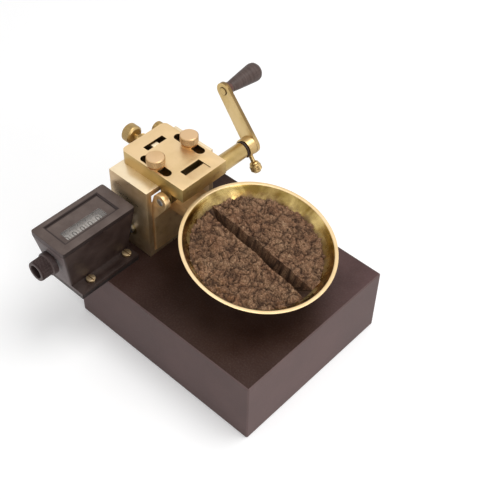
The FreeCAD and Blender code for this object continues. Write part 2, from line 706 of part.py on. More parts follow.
def tangent_point(start, centre, radius, side):
    """Where the line from start touches a circle, on its right (1) or left (-1) side."""
    dx, dz = centre[0] - start[0], centre[1] - start[1]
    distance = math.hypot(dx, dz)
    turn = math.atan2(dz, dx) - side * math.asin(radius / distance)
    length = math.sqrt(distance ** 2 - radius ** 2)
    return start[0] + length * math.cos(turn), start[1] + length * math.sin(turn)


def tilted(thing):
    """Places a shape, made about the middle of the cup's rim, where the cup hangs."""
    return turned(thing, (0, 1, 0), "cup_tilt", "cup_x", "0", "base_height + cup_height")


def bowl(radius):
    """The part of a ball about the cup's own centre that lies below the rim."""
    below = doc.addObject("Part::Box", "BelowRim")
    bind(below, Length="3 * cup_inner_radius", Width="3 * cup_inner_radius", Height="3 * cup_inner_radius")
    put(below, "-1.5 * cup_inner_radius", "-1.5 * cup_inner_radius", "-3 * cup_inner_radius")
    return common(ball(radius, z="cup_inner_radius - cup_depth"), below)


def rivet_places():
    for side in ("-1", "1"):
        yield side + " * rivet_spacing / 2"


def cup():
    shell = cut(bowl("cup_inner_radius + cup_wall"), bowl("cup_inner_radius"))
    keep("cup", tilted(shell))


def soil_half(label, side):
    """The soil on one side of the groove, which goes down to the cup: its crown is a little below the rim."""
    fill = bowl("cup_inner_radius - soil_gap")
    crown_radius = "(cup_inner_radius ^ 2 / (2 * soil_crown))"
    crown = ball(crown_radius, z="soil_crown - soil_below_rim - %s" % crown_radius)
    heap = common(fill, crown)
    top = number("soil_crown - soil_below_rim")
    floor = number("-cup_depth")
    lean = number("(groove_top - groove_bottom) / 2") / (top - floor)
    reach = number("2 * cup_inner_radius")
    near = number("groove_bottom / 2") - lean * reach
    far = number("groove_bottom / 2") + lean * reach
    corners = [(near, floor - reach), (reach, floor - reach), (reach, floor + reach), (far, floor + reach)]
    outline = Part.makePolygon([FreeCAD.Vector(-reach, side * y, z) for y, z in corners + corners[:1]])
    kept = made("", Part.Face(outline).extrude(FreeCAD.Vector(2 * reach, 0, 0)))
    keep(label, tilted(common(heap, kept)))


def hanger_arm():
    """The brass block between the yoke and the cup, hollowed to sit against the cup's back."""
    block = mid_box("cup_inner_radius", "hanger_arm_width", "hanger_arm_height", YOKE_FRONT, "0", ARM_BOTTOM)
    seat = tilted(ball("cup_inner_radius + cup_wall", z="cup_inner_radius - cup_depth"))
    bores = [rod("X", "rivet_radius", "yoke_thickness * 2", YOKE_FRONT + " - yoke_thickness / 2", y,
                 ARM_BOTTOM + " + hanger_arm_height / 2") for y in rivet_places()]
    keep("hanger_arm", cut(block, seat, *bores))
    rivets = []
    for y in rivet_places():
        shank = rod("X", "rivet_radius", "yoke_thickness * 2.5", YOKE_FRONT + " - yoke_thickness", y,
                    ARM_BOTTOM + " + hanger_arm_height / 2")
        rivets.append(shank)
    group("hanger_rivets", *rivets)


# Counter

def case_corners(length, width, x, right, z):
    """The four corners of one level of the tapered case, counter-clockwise from above."""
    back, front, left = x - width / 2, x + width / 2, right - length
    return [FreeCAD.Vector(px, py, z) for px, py in ((back, left), (front, left), (front, right), (back, right))]


def case_loft(inset, low, high):
    """The tapered body of the case between two heights, drawn in by an inset on every side."""
    top = number(BEZEL_BOTTOM)
    bottom = number(CASE_BOTTOM)
    wires = []
    for z in (low, high):
        share = (z - bottom) / (top - bottom)
        length = number("counter_foot_length") + share * number("counter_top_length - counter_foot_length")
        width = number("counter_foot_width") + share * number("counter_top_width - counter_foot_width")
        slip = (1 - share) * number("right_lean_share * " + LEAN)
        x = number(WHEEL_X) - (1 - share) * number("counter_foot_shift")
        corners = case_corners(length - 2 * inset, width - 2 * inset, x, number(CASE_RIGHT) - slip - inset, z)
        wires.append(Part.makePolygon(corners + corners[:1]))
    return Part.makeLoft(wires, True, True)


def level(edge):
    ends = [vertex.Point for vertex in edge.Vertexes]
    return abs(ends[0].z - ends[-1].z) < 1e-6


def case_front_at_foot():
    return "(%s - counter_foot_shift + counter_foot_width / 2)" % WHEEL_X


def flange_box(thickness, z):
    """A strip under and in front of the case's foot."""
    front = case_front_at_foot()
    back = "(%s - counter_foot_shift - counter_foot_width / 2)" % WHEEL_X
    return box("%s + plate_front - %s" % (front, back), "counter_foot_length", thickness, back,
               "%s - counter_foot_length" % CASE_FOOT_RIGHT, z)


def case_screw_places():
    x = "%s + case_screw_forward" % case_front_at_foot()
    for inset in ("case_screw_inset", "(case_screw_inset + case_screw_spacing)"):
        yield x, "%s - %s" % (CASE_FOOT_RIGHT, inset)


def counter_case():
    outer = case_loft(0, number(CASE_BOTTOM), number(BEZEL_BOTTOM))
    outer = outer.makeFillet(number("case_corner"), [edge for edge in outer.Edges if not level(edge)])
    wall = number("counter_wall")
    inner = case_loft(wall, number(CASE_BOTTOM) + wall, number(BEZEL_BOTTOM) + wall)
    shell = made("", outer.cut(inner))
    flange = flange_box("flange_thickness", CASE_BOTTOM)
    hollow = made("", inner)
    tools = [hollow]
    reach = "counter_top_length"
    tools.append(rod("Y", "counter_spindle_radius + turning_fit", "counter_wall * 8", SHAFT_X,
                     CASE_RIGHT + " - counter_wall * 5", SHAFT_Z))
    tools.append(rod("Y", "wheel_shaft_radius", reach + " * 2", WHEEL_X, CASE_RIGHT + " - counter_top_length * 1.5",
                     WHEEL_Z))
    for x, y in case_screw_places():
        tools.append(rod("Z", "case_screw_radius + turning_fit", "flange_thickness * 4", x, y,
                         CASE_BOTTOM + " - flange_thickness"))
    keep("counter_case", cut(fuse(shell, flange), *tools))


def mounting_plate():
    plate = flange_box("plate_thickness", BASE_TOP)
    tools = []
    for x, y in case_screw_places():
        tools.append(rod("Z", "case_screw_radius", "plate_thickness * 3", x, y, BASE_TOP + " - plate_thickness"))
    for x, y in plate_screw_places():
        tools.append(rod("Z", "case_screw_radius + turning_fit", "plate_thickness * 3", x, y,
                         BASE_TOP + " - plate_thickness"))
        tools.append(cone("Z", "case_screw_radius", "case_screw_radius + plate_thickness / 2", "plate_thickness / 2",
                          x, y, BASE_TOP + " + plate_thickness / 2"))
    keep("mounting_plate", cut(plate, *tools))
    screws = []
    for x, y in plate_screw_places():
        shank = rod("Z", "case_screw_radius", "plate_screw_depth - plate_screw_spare + plate_thickness", x, y,
                    "base_height + plate_screw_spare - plate_screw_depth")
        head = cone("Z", "case_screw_radius", "case_screw_radius + plate_thickness / 2", "plate_thickness / 2", x, y,
                    BASE_TOP + " + plate_thickness / 2")
        screws.append(fuse(shank, head))
    group("plate_screws", *screws)
    screws = []
    for x, y in case_screw_places():
        seat = CASE_BOTTOM + " + flange_thickness"
        shank = rod("Z", "case_screw_radius", "flange_thickness + plate_thickness - working_gap", x, y,
                    BASE_TOP + " + working_gap")
        head = rod("Z", "case_screw_head_radius", "case_screw_head", x, y, seat)
        slot = mid_box("case_screw_head_radius * 3", "case_screw_radius / 2", "case_screw_head",
                       "%s - case_screw_head_radius * 1.5" % x, y, seat + " + case_screw_head / 2")
        screws.append(cut(fuse(shank, head), slot))
    group("case_screws", *screws)


def bezel():
    """The counter's cover: a raised rim round a sunk face with the window's opening."""
    x = "(%s - counter_top_width / 2)" % WHEEL_X
    y = "(%s - counter_top_length)" % CASE_RIGHT
    block = box("counter_top_width", "counter_top_length", "bezel_height", x, y, BEZEL_BOTTOM)
    doc.recompute()
    rounded = doc.addObject("Part::Fillet", "BezelCorners")
    rounded.Base = block
    radius = number("case_corner")
    rounded.Edges = [(n + 1, radius, radius) for n, edge in enumerate(block.Shape.Edges) if is_upright(edge)]
    sunk = box("panel_width", "panel_length", "bezel_recess * 2",
               x + " + counter_top_width - panel_front - panel_width", CASE_RIGHT + " - panel_right - panel_length",
               BEZEL_BOTTOM + " + bezel_height - bezel_recess")
    middle = WINDOW_Y
    opening = mid_box("window_width", "window_length", "bezel_height * 4",
                      WHEEL_X + " + window_shift - window_width / 2", middle, BEZEL_BOTTOM + " - bezel_height * 2")
    keep("counter_bezel", cut(rounded, sunk, opening))
    pane = mid_box("window_width", "window_length", "window_thickness",
                   WHEEL_X + " + window_shift - window_width / 2", middle,
                   BEZEL_BOTTOM + " + bezel_height - bezel_recess - window_thickness")
    keep("counter_window", pane)


def number_wheels():
    """The wheels stand side by side on the wheel shaft, units next to the drive."""
    pitch = "(window_length / %d)" % NUMBER_WHEELS
    width = "(%s - wheel_gap)" % pitch
    for place in range(NUMBER_WHEELS):
        y = "(%s + window_length / 2 - %d * %s + wheel_gap / 2)" % (WINDOW_Y, place + 1, pitch)
        disc = rod("Y", "wheel_radius", width, WHEEL_X, y, WHEEL_Z)
        bore = rod("Y", "wheel_shaft_radius + turning_fit", width + " * 3", WHEEL_X, "%s - %s" % (y, width), WHEEL_Z)
        keep("number_wheel_%d" % (place + 1), cut(disc, bore))


def wheel_shaft_and_knob():
    knob_root = "(%s - reset_collar)" % RESET_FACE
    shaft = rod("Y", "wheel_shaft_radius - turning_fit", "%s - counter_wall - %s" % (CASE_RIGHT, knob_root), WHEEL_X,
                knob_root, WHEEL_Z)
    collar = rod("Y", "reset_collar_radius", "reset_collar", WHEEL_X, knob_root, WHEEL_Z)
    grip = rod("Y", "reset_radius", "reset_length - reset_collar", WHEEL_X, "%s - reset_length" % RESET_FACE, WHEEL_Z)
    hollow = rod("Y", "reset_hollow_radius", "reset_hollow_depth * 2", WHEEL_X,
                 "%s - reset_length - reset_hollow_depth" % RESET_FACE, WHEEL_Z)
    keep("wheel_shaft", shaft)
    seat = rod("Y", "wheel_shaft_radius - turning_fit", "reset_collar", WHEEL_X, knob_root, WHEEL_Z)
    keep("reset_knob", cut(fuse(collar, grip), hollow, seat))


def gear_solid(axis_x, axis_z, teeth, pitch_radius, start_angle):
    """A small spur gear with straight-sided teeth; one tooth's middle lies at the start angle."""
    module = 2 * pitch_radius / teeth
    play = number("gear_backlash")
    flank = [(pitch_radius - TOOTH_ROOT * module, TOOTH_FOOT_HALF * module),
             (pitch_radius, math.pi / 4 * module - play / 2),
             (pitch_radius + TOOTH_TIP * module, TOOTH_TIP_HALF * module - play / 2)]
    points = []
    for tooth in range(teeth):
        middle = start_angle + 2 * math.pi * tooth / teeth
        points += [(radius, middle - half / radius) for radius, half in flank]
        points += [(radius, middle + half / radius) for radius, half in reversed(flank)]
    corners = [FreeCAD.Vector(axis_x + r * math.cos(a), 0, axis_z + r * math.sin(a)) for r, a in points]
    solid = Part.Face(Part.makePolygon(corners + corners[:1])).extrude(FreeCAD.Vector(0, number("gear_width"), 0))
    solid.translate(FreeCAD.Vector(0, number(GEAR_START), 0))
    return made("", solid)


def counter_gears():
    """The drive gear on the cam shaft's thin end turns the transfer gear beside the number wheels."""
    wheel_x, wheel_z = number(WHEEL_X), number(WHEEL_Z)
    shaft_x, shaft_z = number(SHAFT_X), number(SHAFT_Z)
    drive_teeth, transfer_teeth = int(number("drive_teeth")), int(number("transfer_teeth"))
    spacing = math.hypot(wheel_x - shaft_x, wheel_z - shaft_z)
    drive_pitch = spacing * drive_teeth / (drive_teeth + transfer_teeth)
    towards_wheels = math.atan2(wheel_z - shaft_z, wheel_x - shaft_x)
    half_tooth = math.pi / transfer_teeth
    behind = GEAR_START + " - gear_width"
    drive = gear_solid(shaft_x, shaft_z, drive_teeth, drive_pitch, towards_wheels)
    keep("drive_gear", cut(drive, rod("Y", "counter_spindle_radius", "gear_width * 3", SHAFT_X, behind, SHAFT_Z)))
    transfer = gear_solid(wheel_x, wheel_z, transfer_teeth, spacing - drive_pitch,
                          towards_wheels + math.pi + half_tooth)
    bore = rod("Y", "wheel_shaft_radius + turning_fit", "gear_width * 3", WHEEL_X, behind, WHEEL_Z)
    keep("transfer_gear", cut(transfer, bore))


def build():
    base_block()
    frame_casting()
    frame_screws()
    bearings()
    cam_shaft()
    snail_cam()
    crank()
    set_screw()
    handle()
    carriage()
    adjusting_gear()
    washers = [clamp_screw("left_clamp_screw", "-1"), clamp_screw("right_clamp_screw", "1")]
    group("clamp_washers", *washers)
    yoke()
    cup()
    soil_half("soil_left_half", -1)
    soil_half("soil_right_half", 1)
    hanger_arm()
    mounting_plate()
    counter_case()
    bezel()
    number_wheels()
    wheel_shaft_and_knob()
    counter_gears()


def check_and_write():
    doc.recompute()
    for thing in doc.Objects:
        if "Invalid" in thing.State or "Error" in thing.State:
            raise RuntimeError("%s (%s) did not build: %s" % (thing.Name, thing.Label, thing.State))
    for piece in PIECES:
        if piece.Shape.isNull() or not piece.Shape.isValid() or not piece.Shape.Solids:
            raise RuntimeError("%s has no good shape" % piece.Label)
    os.makedirs("parts", exist_ok=True)
    for piece in PIECES:
        piece.Shape.exportStep("parts/%s.step" % piece.Label)
        print("%-20s %2d %10.1f" % (piece.Label, len(piece.Shape.Solids), piece.Shape.Volume))


build()
check_and_write()
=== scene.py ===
import math

import bmesh
import bpy
from mathutils import Matrix, Vector, noise


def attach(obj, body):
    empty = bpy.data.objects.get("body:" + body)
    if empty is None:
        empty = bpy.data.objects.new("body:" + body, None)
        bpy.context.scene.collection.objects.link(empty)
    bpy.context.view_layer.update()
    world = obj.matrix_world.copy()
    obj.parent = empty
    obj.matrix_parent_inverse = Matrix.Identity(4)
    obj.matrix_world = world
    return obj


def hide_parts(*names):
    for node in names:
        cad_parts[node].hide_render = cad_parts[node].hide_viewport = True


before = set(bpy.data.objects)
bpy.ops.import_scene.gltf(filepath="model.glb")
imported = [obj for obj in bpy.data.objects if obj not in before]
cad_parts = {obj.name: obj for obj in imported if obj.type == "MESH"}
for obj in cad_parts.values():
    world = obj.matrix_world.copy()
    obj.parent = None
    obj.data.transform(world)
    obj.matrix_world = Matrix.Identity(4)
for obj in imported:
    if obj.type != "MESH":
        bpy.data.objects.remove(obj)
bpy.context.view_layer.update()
MM = 0.001


# Camera. It stands above the base's front corner, where the photograph was taken from, and is
# rolled by two degrees. The picture is 500 x 500 and the focal length is in its pixels.

PICTURE_WIDTH = 500
FOCAL_PIXELS = 979.49
CAMERA_TURN, CAMERA_RISE, CAMERA_ROLL = (math.radians(angle) for angle in (41.13, 46.59, 1.95))
CAMERA_AWAY, CAMERA_ASIDE, CAMERA_UP = 663.42 * MM, 14.96 * MM, 44.41 * MM

back = Vector((math.sin(CAMERA_TURN) * math.cos(CAMERA_RISE), -math.cos(CAMERA_TURN) * math.cos(CAMERA_RISE),
               math.sin(CAMERA_RISE)))
level_right = (-back).cross(Vector((0, 0, 1))).normalized()
level_up = level_right.cross(-back)
right = level_right * math.cos(CAMERA_ROLL) + level_up * math.sin(CAMERA_ROLL)
up = level_up * math.cos(CAMERA_ROLL) - level_right * math.sin(CAMERA_ROLL)
camera = bpy.data.objects.new("camera", bpy.data.cameras.new("camera"))
camera.data.sensor_width = 36
camera.data.lens = FOCAL_PIXELS / PICTURE_WIDTH * camera.data.sensor_width
camera.matrix_world = (Matrix.Translation(back * CAMERA_AWAY + right * CAMERA_ASIDE + up * CAMERA_UP)
                       @ Matrix((right, up, back)).transposed().to_4x4())
bpy.context.scene.collection.objects.link(camera)
bpy.context.scene.camera = camera


# Base block. A solid block of black hard rubber, sawn on its sides, which stay greyer and duller,
# and ground flat on top. Fine dust lies on it, painted sheen lightens its top towards +X and +Y,
# and its edges are a little worn.

def start_material(name, **values):
    """A new material, its node tree and its shader, with the given values on the shader's sockets."""
    material = bpy.data.materials.new(name)
    material.use_nodes = True
    shader = material.node_tree.nodes["Principled BSDF"]
    for socket, value in values.items():
        shader.inputs[socket.replace("_", " ")].default_value = value
    return material, material.node_tree, shader


def add(tree, kind, links=None, **settings):
    """A node with its settings, and its inputs joined to other sockets or given values."""
    node = tree.nodes.new(kind)
    for name, value in settings.items():
        setattr(node, name, value)
    for name, value in (links or {}).items():
        if isinstance(value, bpy.types.NodeSocket):
            tree.links.new(value, node.inputs[name])
        else:
            node.inputs[name].default_value = value
    return node


def place(tree, stretch=(1, 1, 1), shift=(0, 0, 0), turn=(0, 0, 0)):
    """The piece's own coordinates in metres, moved, turned and stretched."""
    coordinates = add(tree, "ShaderNodeTexCoord").outputs["Object"]
    if stretch == (1, 1, 1) and shift == (0, 0, 0) and turn == (0, 0, 0):
        return coordinates
    moved = add(tree, "ShaderNodeMapping", {"Vector": coordinates, "Location": [-part for part in shift]})
    turned_round = add(tree, "ShaderNodeMapping", {"Vector": moved.outputs[0], "Rotation": turn, "Scale": stretch})
    return turned_round.outputs[0]


def ramp(tree, value, start, end, low=0.0, high=1.0):
    """A value taken from one range to another, and held at its ends; the first range may run downwards."""
    return add(tree, "ShaderNodeMapRange", {"Value": value, "From Min": start, "From Max": end, "To Min": low,
                                            "To Max": high}).outputs["Result"]


def speckle(tree, where, scale, detail=4.0, roughness=0.6, low=0.35, high=0.65, distortion=0.0):
    """Noise between 0 and 1, with its middle range spread out."""
    grain = add(tree, "ShaderNodeTexNoise", {"Vector": where, "Scale": scale, "Detail": detail,
                                             "Roughness": roughness, "Distortion": distortion})
    return ramp(tree, grain.outputs["Fac"], low, high)


def scaled(tree, value, low, high):
    """A value between 0 and 1 taken to another range."""
    return ramp(tree, value, 0.0, 1.0, low, high)


def worked(tree, operation, *values):
    """What an operation makes of some values or sockets."""
    return add(tree, "ShaderNodeMath", dict(enumerate(values)), operation=operation).outputs[0]


def blended(tree, share, first, second):
    """One colour, or colour socket, turning into another."""
    mix = add(tree, "ShaderNodeMix", data_type="RGBA")
    for socket, value in (("Factor", share), ("A", first), ("B", second)):
        slot = next(one for one in mix.inputs if one.name == socket and one.enabled)
        if isinstance(value, bpy.types.NodeSocket):
            tree.links.new(value, slot)
        else:
            slot.default_value = value if isinstance(value, float) else (*value, 1)
    return next(one for one in mix.outputs if one.enabled)


def bumped(tree, shader, height, distance, strength=1.0, under=None):
    """Relief on the shader from a height between 0 and 1, which is the given distance deep."""
    links = {"Height": height, "Distance": distance, "Strength": strength}
    if under is not None:
        links["Normal"] = under
    bump = add(tree, "ShaderNodeBump", links)
    tree.links.new(bump.outputs[0], shader.inputs["Normal"])
    return bump.outputs[0]


def facing(tree, way):
    """How far the surface faces along one of its piece's own axes, from -1 to 1."""
    normal = add(tree, "ShaderNodeTexCoord").outputs["Normal"]
    return add(tree, "ShaderNodeSeparateXYZ", {"Vector": normal}).outputs[way]


def faces(tree, way, low=0.75, high=0.98):
    """1 where the surface faces along an axis and 0 where it doesn't; a negative range asks for the other way."""
    return ramp(tree, facing(tree, way), low, high)


def across(tree, where):
    """How far a point lies from the Y axis through the origin."""
    flat = add(tree, "ShaderNodeVectorMath", {0: where, 1: (1, 0, 1)}, operation="MULTIPLY").outputs[0]
    return add(tree, "ShaderNodeVectorMath", {0: flat}, operation="LENGTH").outputs["Value"]


RUBBER_TOP, RUBBER_TOP_WORN = (0.024, 0.0080, 0.0050), (0.042, 0.020, 0.015)
RUBBER_TOP_SHEEN, DUST = (0.115, 0.062, 0.062), (0.2, 0.17, 0.16)
RUBBER_SIDE, RUBBER_SIDE_DARK = (0.136, 0.090, 0.086), (0.100, 0.064, 0.061)
SHEEN_FROM, SHEEN_ALL = 0.06, 0.13

hard_rubber, tree, shader = start_material("hard_rubber_block", Specular_IOR_Level=0.2)
is_top = faces(tree, "Z")
clouds = speckle(tree, place(tree), 22.0, detail=6.0)
dust = speckle(tree, place(tree), 900.0, detail=3.0, low=0.45, high=0.8)
saw_lines = speckle(tree, place(tree, stretch=(1.0, 1.0, 30.0)), 60.0, detail=3.0)
# Painted sheen: the top is lightened towards the +X, +Y corner.
to_corner = add(tree, "ShaderNodeVectorMath", {0: place(tree), 1: (1, 1, 0)}, operation="DOT_PRODUCT")
sheen_reach = ramp(tree, to_corner.outputs["Value"], SHEEN_FROM, SHEEN_ALL)
painted_sheen = worked(tree, "MULTIPLY", sheen_reach, scaled(tree, clouds, 0.55, 1.0))
top_colour = blended(tree, painted_sheen, blended(tree, clouds, RUBBER_TOP, RUBBER_TOP_WORN), RUBBER_TOP_SHEEN)
side_colour = blended(tree, clouds, RUBBER_SIDE_DARK, RUBBER_SIDE)
both = blended(tree, is_top, side_colour, top_colour)
tree.links.new(blended(tree, scaled(tree, dust, 0.0, 0.1), both, DUST), shader.inputs["Base Color"])
tree.links.new(worked(tree, "ADD", scaled(tree, clouds, 0.0, 0.14), scaled(tree, is_top, 0.56, 0.42)),
               shader.inputs["Roughness"])
sawn = bumped(tree, shader, saw_lines, 0.00004, 0.35)
bumped(tree, shader, dust, 0.00005, 0.5, under=sawn)


def dress(material, *names):
    """The material on CAD nodes whose shape stays as it is."""
    for name in names:
        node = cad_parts[name]
        node.data.materials.clear()
        node.data.materials.append(material)


dress(hard_rubber, "base_block")


# Frame. Two side walls, a floor and a top deck of brass, milled and polished, screwed to the block
# from below. Brass darkens in patches, painted shade darkens its side faces, and every edge is broken slightly.

BRASS_PALE = (0.69, 0.51, 0.245)
BRASS_DEEP = (0.53, 0.37, 0.13)
BRASS_BROWN = (0.25, 0.135, 0.048)
GRIME_AND_SHADE = (0.075, 0.036, 0.012)


def brass(name, grain=(1, 1, 1), shift=(0, 0, 0), turn=(0, 0, 0), tarnish=0.35, shine=0.2, relief=0.000006,
          paler=None, side_shade=0.45, dirt_and_shade=None, metal=1.0, pale=BRASS_PALE, deep=BRASS_DEEP, brown=BRASS_BROWN):
    """Brass with a machined grain along the directions that are stretched least.

    Faces along the one axis that is given stay pale, and painted shade darkens the faces turned away from it towards
    brown.
    Where the function that is given says so, it takes a dark tone that stands for dirt and painted shade.
    """
    material, tree, shader = start_material(name, Metallic=metal)
    whole = place(tree)
    lines = speckle(tree, place(tree, stretch=grain, shift=shift, turn=turn), 55.0, detail=5.0, low=0.3, high=0.7)
    patches = speckle(tree, whole, 38.0, detail=5.0, low=0.42, high=0.72)
    spots = speckle(tree, whole, 210.0, detail=4.0, low=0.52, high=0.78)
    colour = blended(tree, patches, pale, deep)
    tarnish_and_shade = worked(tree, "MULTIPLY", scaled(tree, patches, 0.1, 1.0), scaled(tree, spots, 0.0, tarnish))
    # Painted shade: faces turned away from the given axis darken towards brown.
    if paler:
        away = ramp(tree, worked(tree, "ABSOLUTE", facing(tree, paler)), 0.95, 0.6)
        painted_side_shade = worked(tree, "MULTIPLY", away, scaled(tree, patches, side_shade * 0.7, side_shade))
        tarnish_and_shade = worked(tree, "MAXIMUM", tarnish_and_shade, painted_side_shade)
    colour = blended(tree, tarnish_and_shade, colour, brown)
    if dirt_and_shade:
        colour = blended(tree, dirt_and_shade(tree), colour, GRIME_AND_SHADE)
    tree.links.new(colour, shader.inputs["Base Color"])
    dull = worked(tree, "ADD", scaled(tree, lines, shine, shine + 0.12), scaled(tree, patches, 0.0, 0.12))
    tree.links.new(dull, shader.inputs["Roughness"])
    bumped(tree, shader, lines, relief, 0.6)
    return material


def cad_copy(node):
    """The mesh of a CAD node with its loose triangles joined and its flat faces made whole."""
    bm = bmesh.new()
    bm.from_mesh(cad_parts[node].data)
    bmesh.ops.remove_doubles(bm, verts=bm.verts, dist=0.002 * MM)
    bmesh.ops.dissolve_limit(bm, angle_limit=math.radians(0.6), verts=bm.verts, edges=bm.edges)
    return bm


def soften(bm, width, segments=2, sharper_than=28.0, where=None):
    """Rounds the edges that are sharper than an angle, all or those that a test picks."""
    sharp = [edge for edge in bm.edges if len(edge.link_faces) == 2
             and edge.calc_face_angle() > math.radians(sharper_than) and (where is None or where(edge))]
    bmesh.ops.bevel(bm, geom=sharp, offset=width, offset_type="OFFSET", segments=segments, profile=0.5,
                    affect="EDGES", clamp_overlap=True, material=-1)


def finish_piece(name, bm, materials, body, replaced=(), smooth_below=40.0):
    """A piece from its bmesh, at the origin, that rides on its body and stands for CAD nodes."""
    mesh = bpy.data.meshes.new(name)
    bm.to_mesh(mesh)
    bm.free()
    mesh.shade_smooth()
    mesh.set_sharp_from_angle(angle=math.radians(smooth_below))
    for material in materials if isinstance(materials, list) else [materials]:
        mesh.materials.append(material)
    piece = bpy.data.objects.new(name, mesh)
    bpy.context.scene.collection.objects.link(piece)
    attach(piece, body)
    if replaced:
        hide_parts(*replaced)
    return piece


def softened_copy(name, node, material, body, width=0.25 * MM, segments=2):
    """A CAD node's shape with its edges rounded, in its place."""
    bm = cad_copy(node)
    soften(bm, width, segments)
    return finish_piece(name, bm, material, body, [node])


# Painted shade darkens the side faces; the tops stay pale.
milled_brass = brass("milled_brass", grain=(1, 5, 5), tarnish=0.3, shine=0.24, paler="Z", side_shade=0.85, metal=0.8,
                     pale=(0.93, 0.77, 0.53), deep=(0.82, 0.65, 0.40), brown=(0.37, 0.215, 0.085))
softened_copy("frame_casting_dressed", "frame_casting", milled_brass, "base", 0.35 * MM)


# Steel parts, mostly out of sight: the frame's screws, the shaft with its cam, the hanger's heel and the
# hinge pin. They are turned or milled, and a thin film of oil lies on them.

def steel(name, colour, grain, shine=0.28):
    """Steel with fine machining lines and a film of oil."""
    material, tree, shader = start_material(name, Metallic=1.0)
    lines = speckle(tree, place(tree, stretch=grain), 90.0, detail=4.0, low=0.3, high=0.7)
    film = speckle(tree, place(tree), 120.0, detail=5.0)
    tree.links.new(blended(tree, film, colour, tuple(part * 0.72 for part in colour)), shader.inputs["Base Color"])
    tree.links.new(scaled(tree, lines, shine, shine + 0.16), shader.inputs["Roughness"])
    bumped(tree, shader, lines, 0.00001, 0.5)
    return material


turned_steel = steel("turned_steel", (0.55, 0.54, 0.52), (1, 22, 1))
dress(turned_steel, "frame_screws", "cam_shaft", "snail_cam", "cam_grub_screw", "cam_follower", "plate_screws",
      "wheel_shaft")
softened_copy("hinge_pin_dressed", "hinge_pin", turned_steel, "carriage", 0.3 * MM)


# Bearings. A long turned brass sleeve carries the shaft out to the crank, with a black fibre washer
# at its end; a flanged brass bush holds the shaft in the other wall.

SHAFT_X, SHAFT_Z = -59 * MM, 65 * MM

turned_brass = brass("turned_brass", grain=(1, 14, 1), tarnish=0.35, shine=0.24,
                     pale=(0.56, 0.40, 0.175), deep=(0.40, 0.275, 0.095))
dress(turned_brass, "left_bush", "shaft_collar", "drive_gear", "transfer_gear")
softened_copy("bearing_sleeve_dressed", "bearing_sleeve", turned_brass, "base", 0.3 * MM)


def lathe(bm, profile, centre, along, steps=64):
    """Turns a profile of (station, radius) pairs in mm about an axis; ends at radius 0 are closed."""
    along = Vector(along).normalized()
    out = along.orthogonal().normalized()
    points = [bm.verts.new(Vector(centre) + along * station * MM + out * radius * MM) for station, radius in profile]
    edges = [bm.edges.new(pair) for pair in zip(points, points[1:])]
    spun = bmesh.ops.spin(bm, geom=points + edges, cent=centre, axis=along, dvec=(0, 0, 0), angle=2 * math.pi,
                          steps=steps, use_merge=True, use_duplicate=False)
    bmesh.ops.remove_doubles(bm, verts=bm.verts, dist=0.001 * MM)
    bmesh.ops.recalc_face_normals(bm, faces=bm.faces)
    return spun


fibre, tree, shader = start_material("black_fibre", Specular_IOR_Level=0.3)
flecks = speckle(tree, place(tree), 1500.0)
tree.links.new(blended(tree, flecks, (0.020, 0.009, 0.006), (0.045, 0.024, 0.016)), shader.inputs["Base Color"])
tree.links.new(scaled(tree, flecks, 0.5, 0.7), shader.inputs["Roughness"])
bumped(tree, shader, flecks, 0.00004)
WASHER_START, WASHER_END, WASHER_RADIUS = 75.65, 77.15, 6.2
bm = bmesh.new()
lathe(bm, [(WASHER_START, 3.6), (WASHER_START, WASHER_RADIUS), (WASHER_END, WASHER_RADIUS), (WASHER_END, 3.6),
           (WASHER_START, 3.6)], (SHAFT_X, 0, SHAFT_Z), (0, 1, 0), steps=72)
soften(bm, 0.25 * MM)
finish_piece("thrust_washer_dressed", bm, fibre, "base", ["thrust_washer"])


# Crank. A flat tapering brass arm on a round hub, with the handle's spindle riveted through its end.
# A thumb screw with a ball head grips the shaft through the hub.

CRANK_LENGTH, CRANK_TURN = 41.5, math.radians(38.5)
HANDLE_X = SHAFT_X / MM - CRANK_LENGTH * math.sin(CRANK_TURN)
HANDLE_Z = SHAFT_Z / MM + CRANK_LENGTH * math.cos(CRANK_TURN)
RIVET_RIM = 2.95
EDGE_SHADE_FROM, EDGE_SHADE_ALL = 7, 11


def crank_grime(tree):
    """Dirt in the corner round the rivet's head, and painted shade along the arm's narrow edges."""
    coordinates = add(tree, "ShaderNodeTexCoord").outputs["Object"]
    rivet = add(tree, "ShaderNodeMapping", {"Vector": coordinates, "Location": (-HANDLE_X * MM, 0, -HANDLE_Z * MM)})
    off_rim = worked(tree, "ABSOLUTE", worked(tree, "SUBTRACT", across(tree, rivet.outputs[0]), RIVET_RIM * MM))
    hub = add(tree, "ShaderNodeMapping", {"Vector": coordinates, "Location": (-SHAFT_X, 0, -SHAFT_Z)})
    on_arm = ramp(tree, across(tree, hub.outputs[0]), EDGE_SHADE_FROM * MM, EDGE_SHADE_ALL * MM)
    on_edge = ramp(tree, worked(tree, "ABSOLUTE", facing(tree, "Y")), 0.7, 0.2, high=0.6)
    return worked(tree, "MAXIMUM", ramp(tree, off_rim, 0.6 * MM, 0.1 * MM, high=0.7),
                  worked(tree, "MULTIPLY", on_arm, on_edge))


# Painted shade darkens every face not turned along Y: the arm's narrow edges and the round of its hub.
crank_brass = brass("crank_brass", grain=(9, 9, 1), tarnish=0.25, shine=0.3, relief=0.000003, paler="Y", side_shade=0.5,
                    dirt_and_shade=crank_grime)
softened_copy("crank_arm_dressed", "crank_arm", crank_brass, "crank", 0.3 * MM)
softened_copy("handle_spindle_dressed", "handle_spindle", crank_brass, "crank", 0.2 * MM)


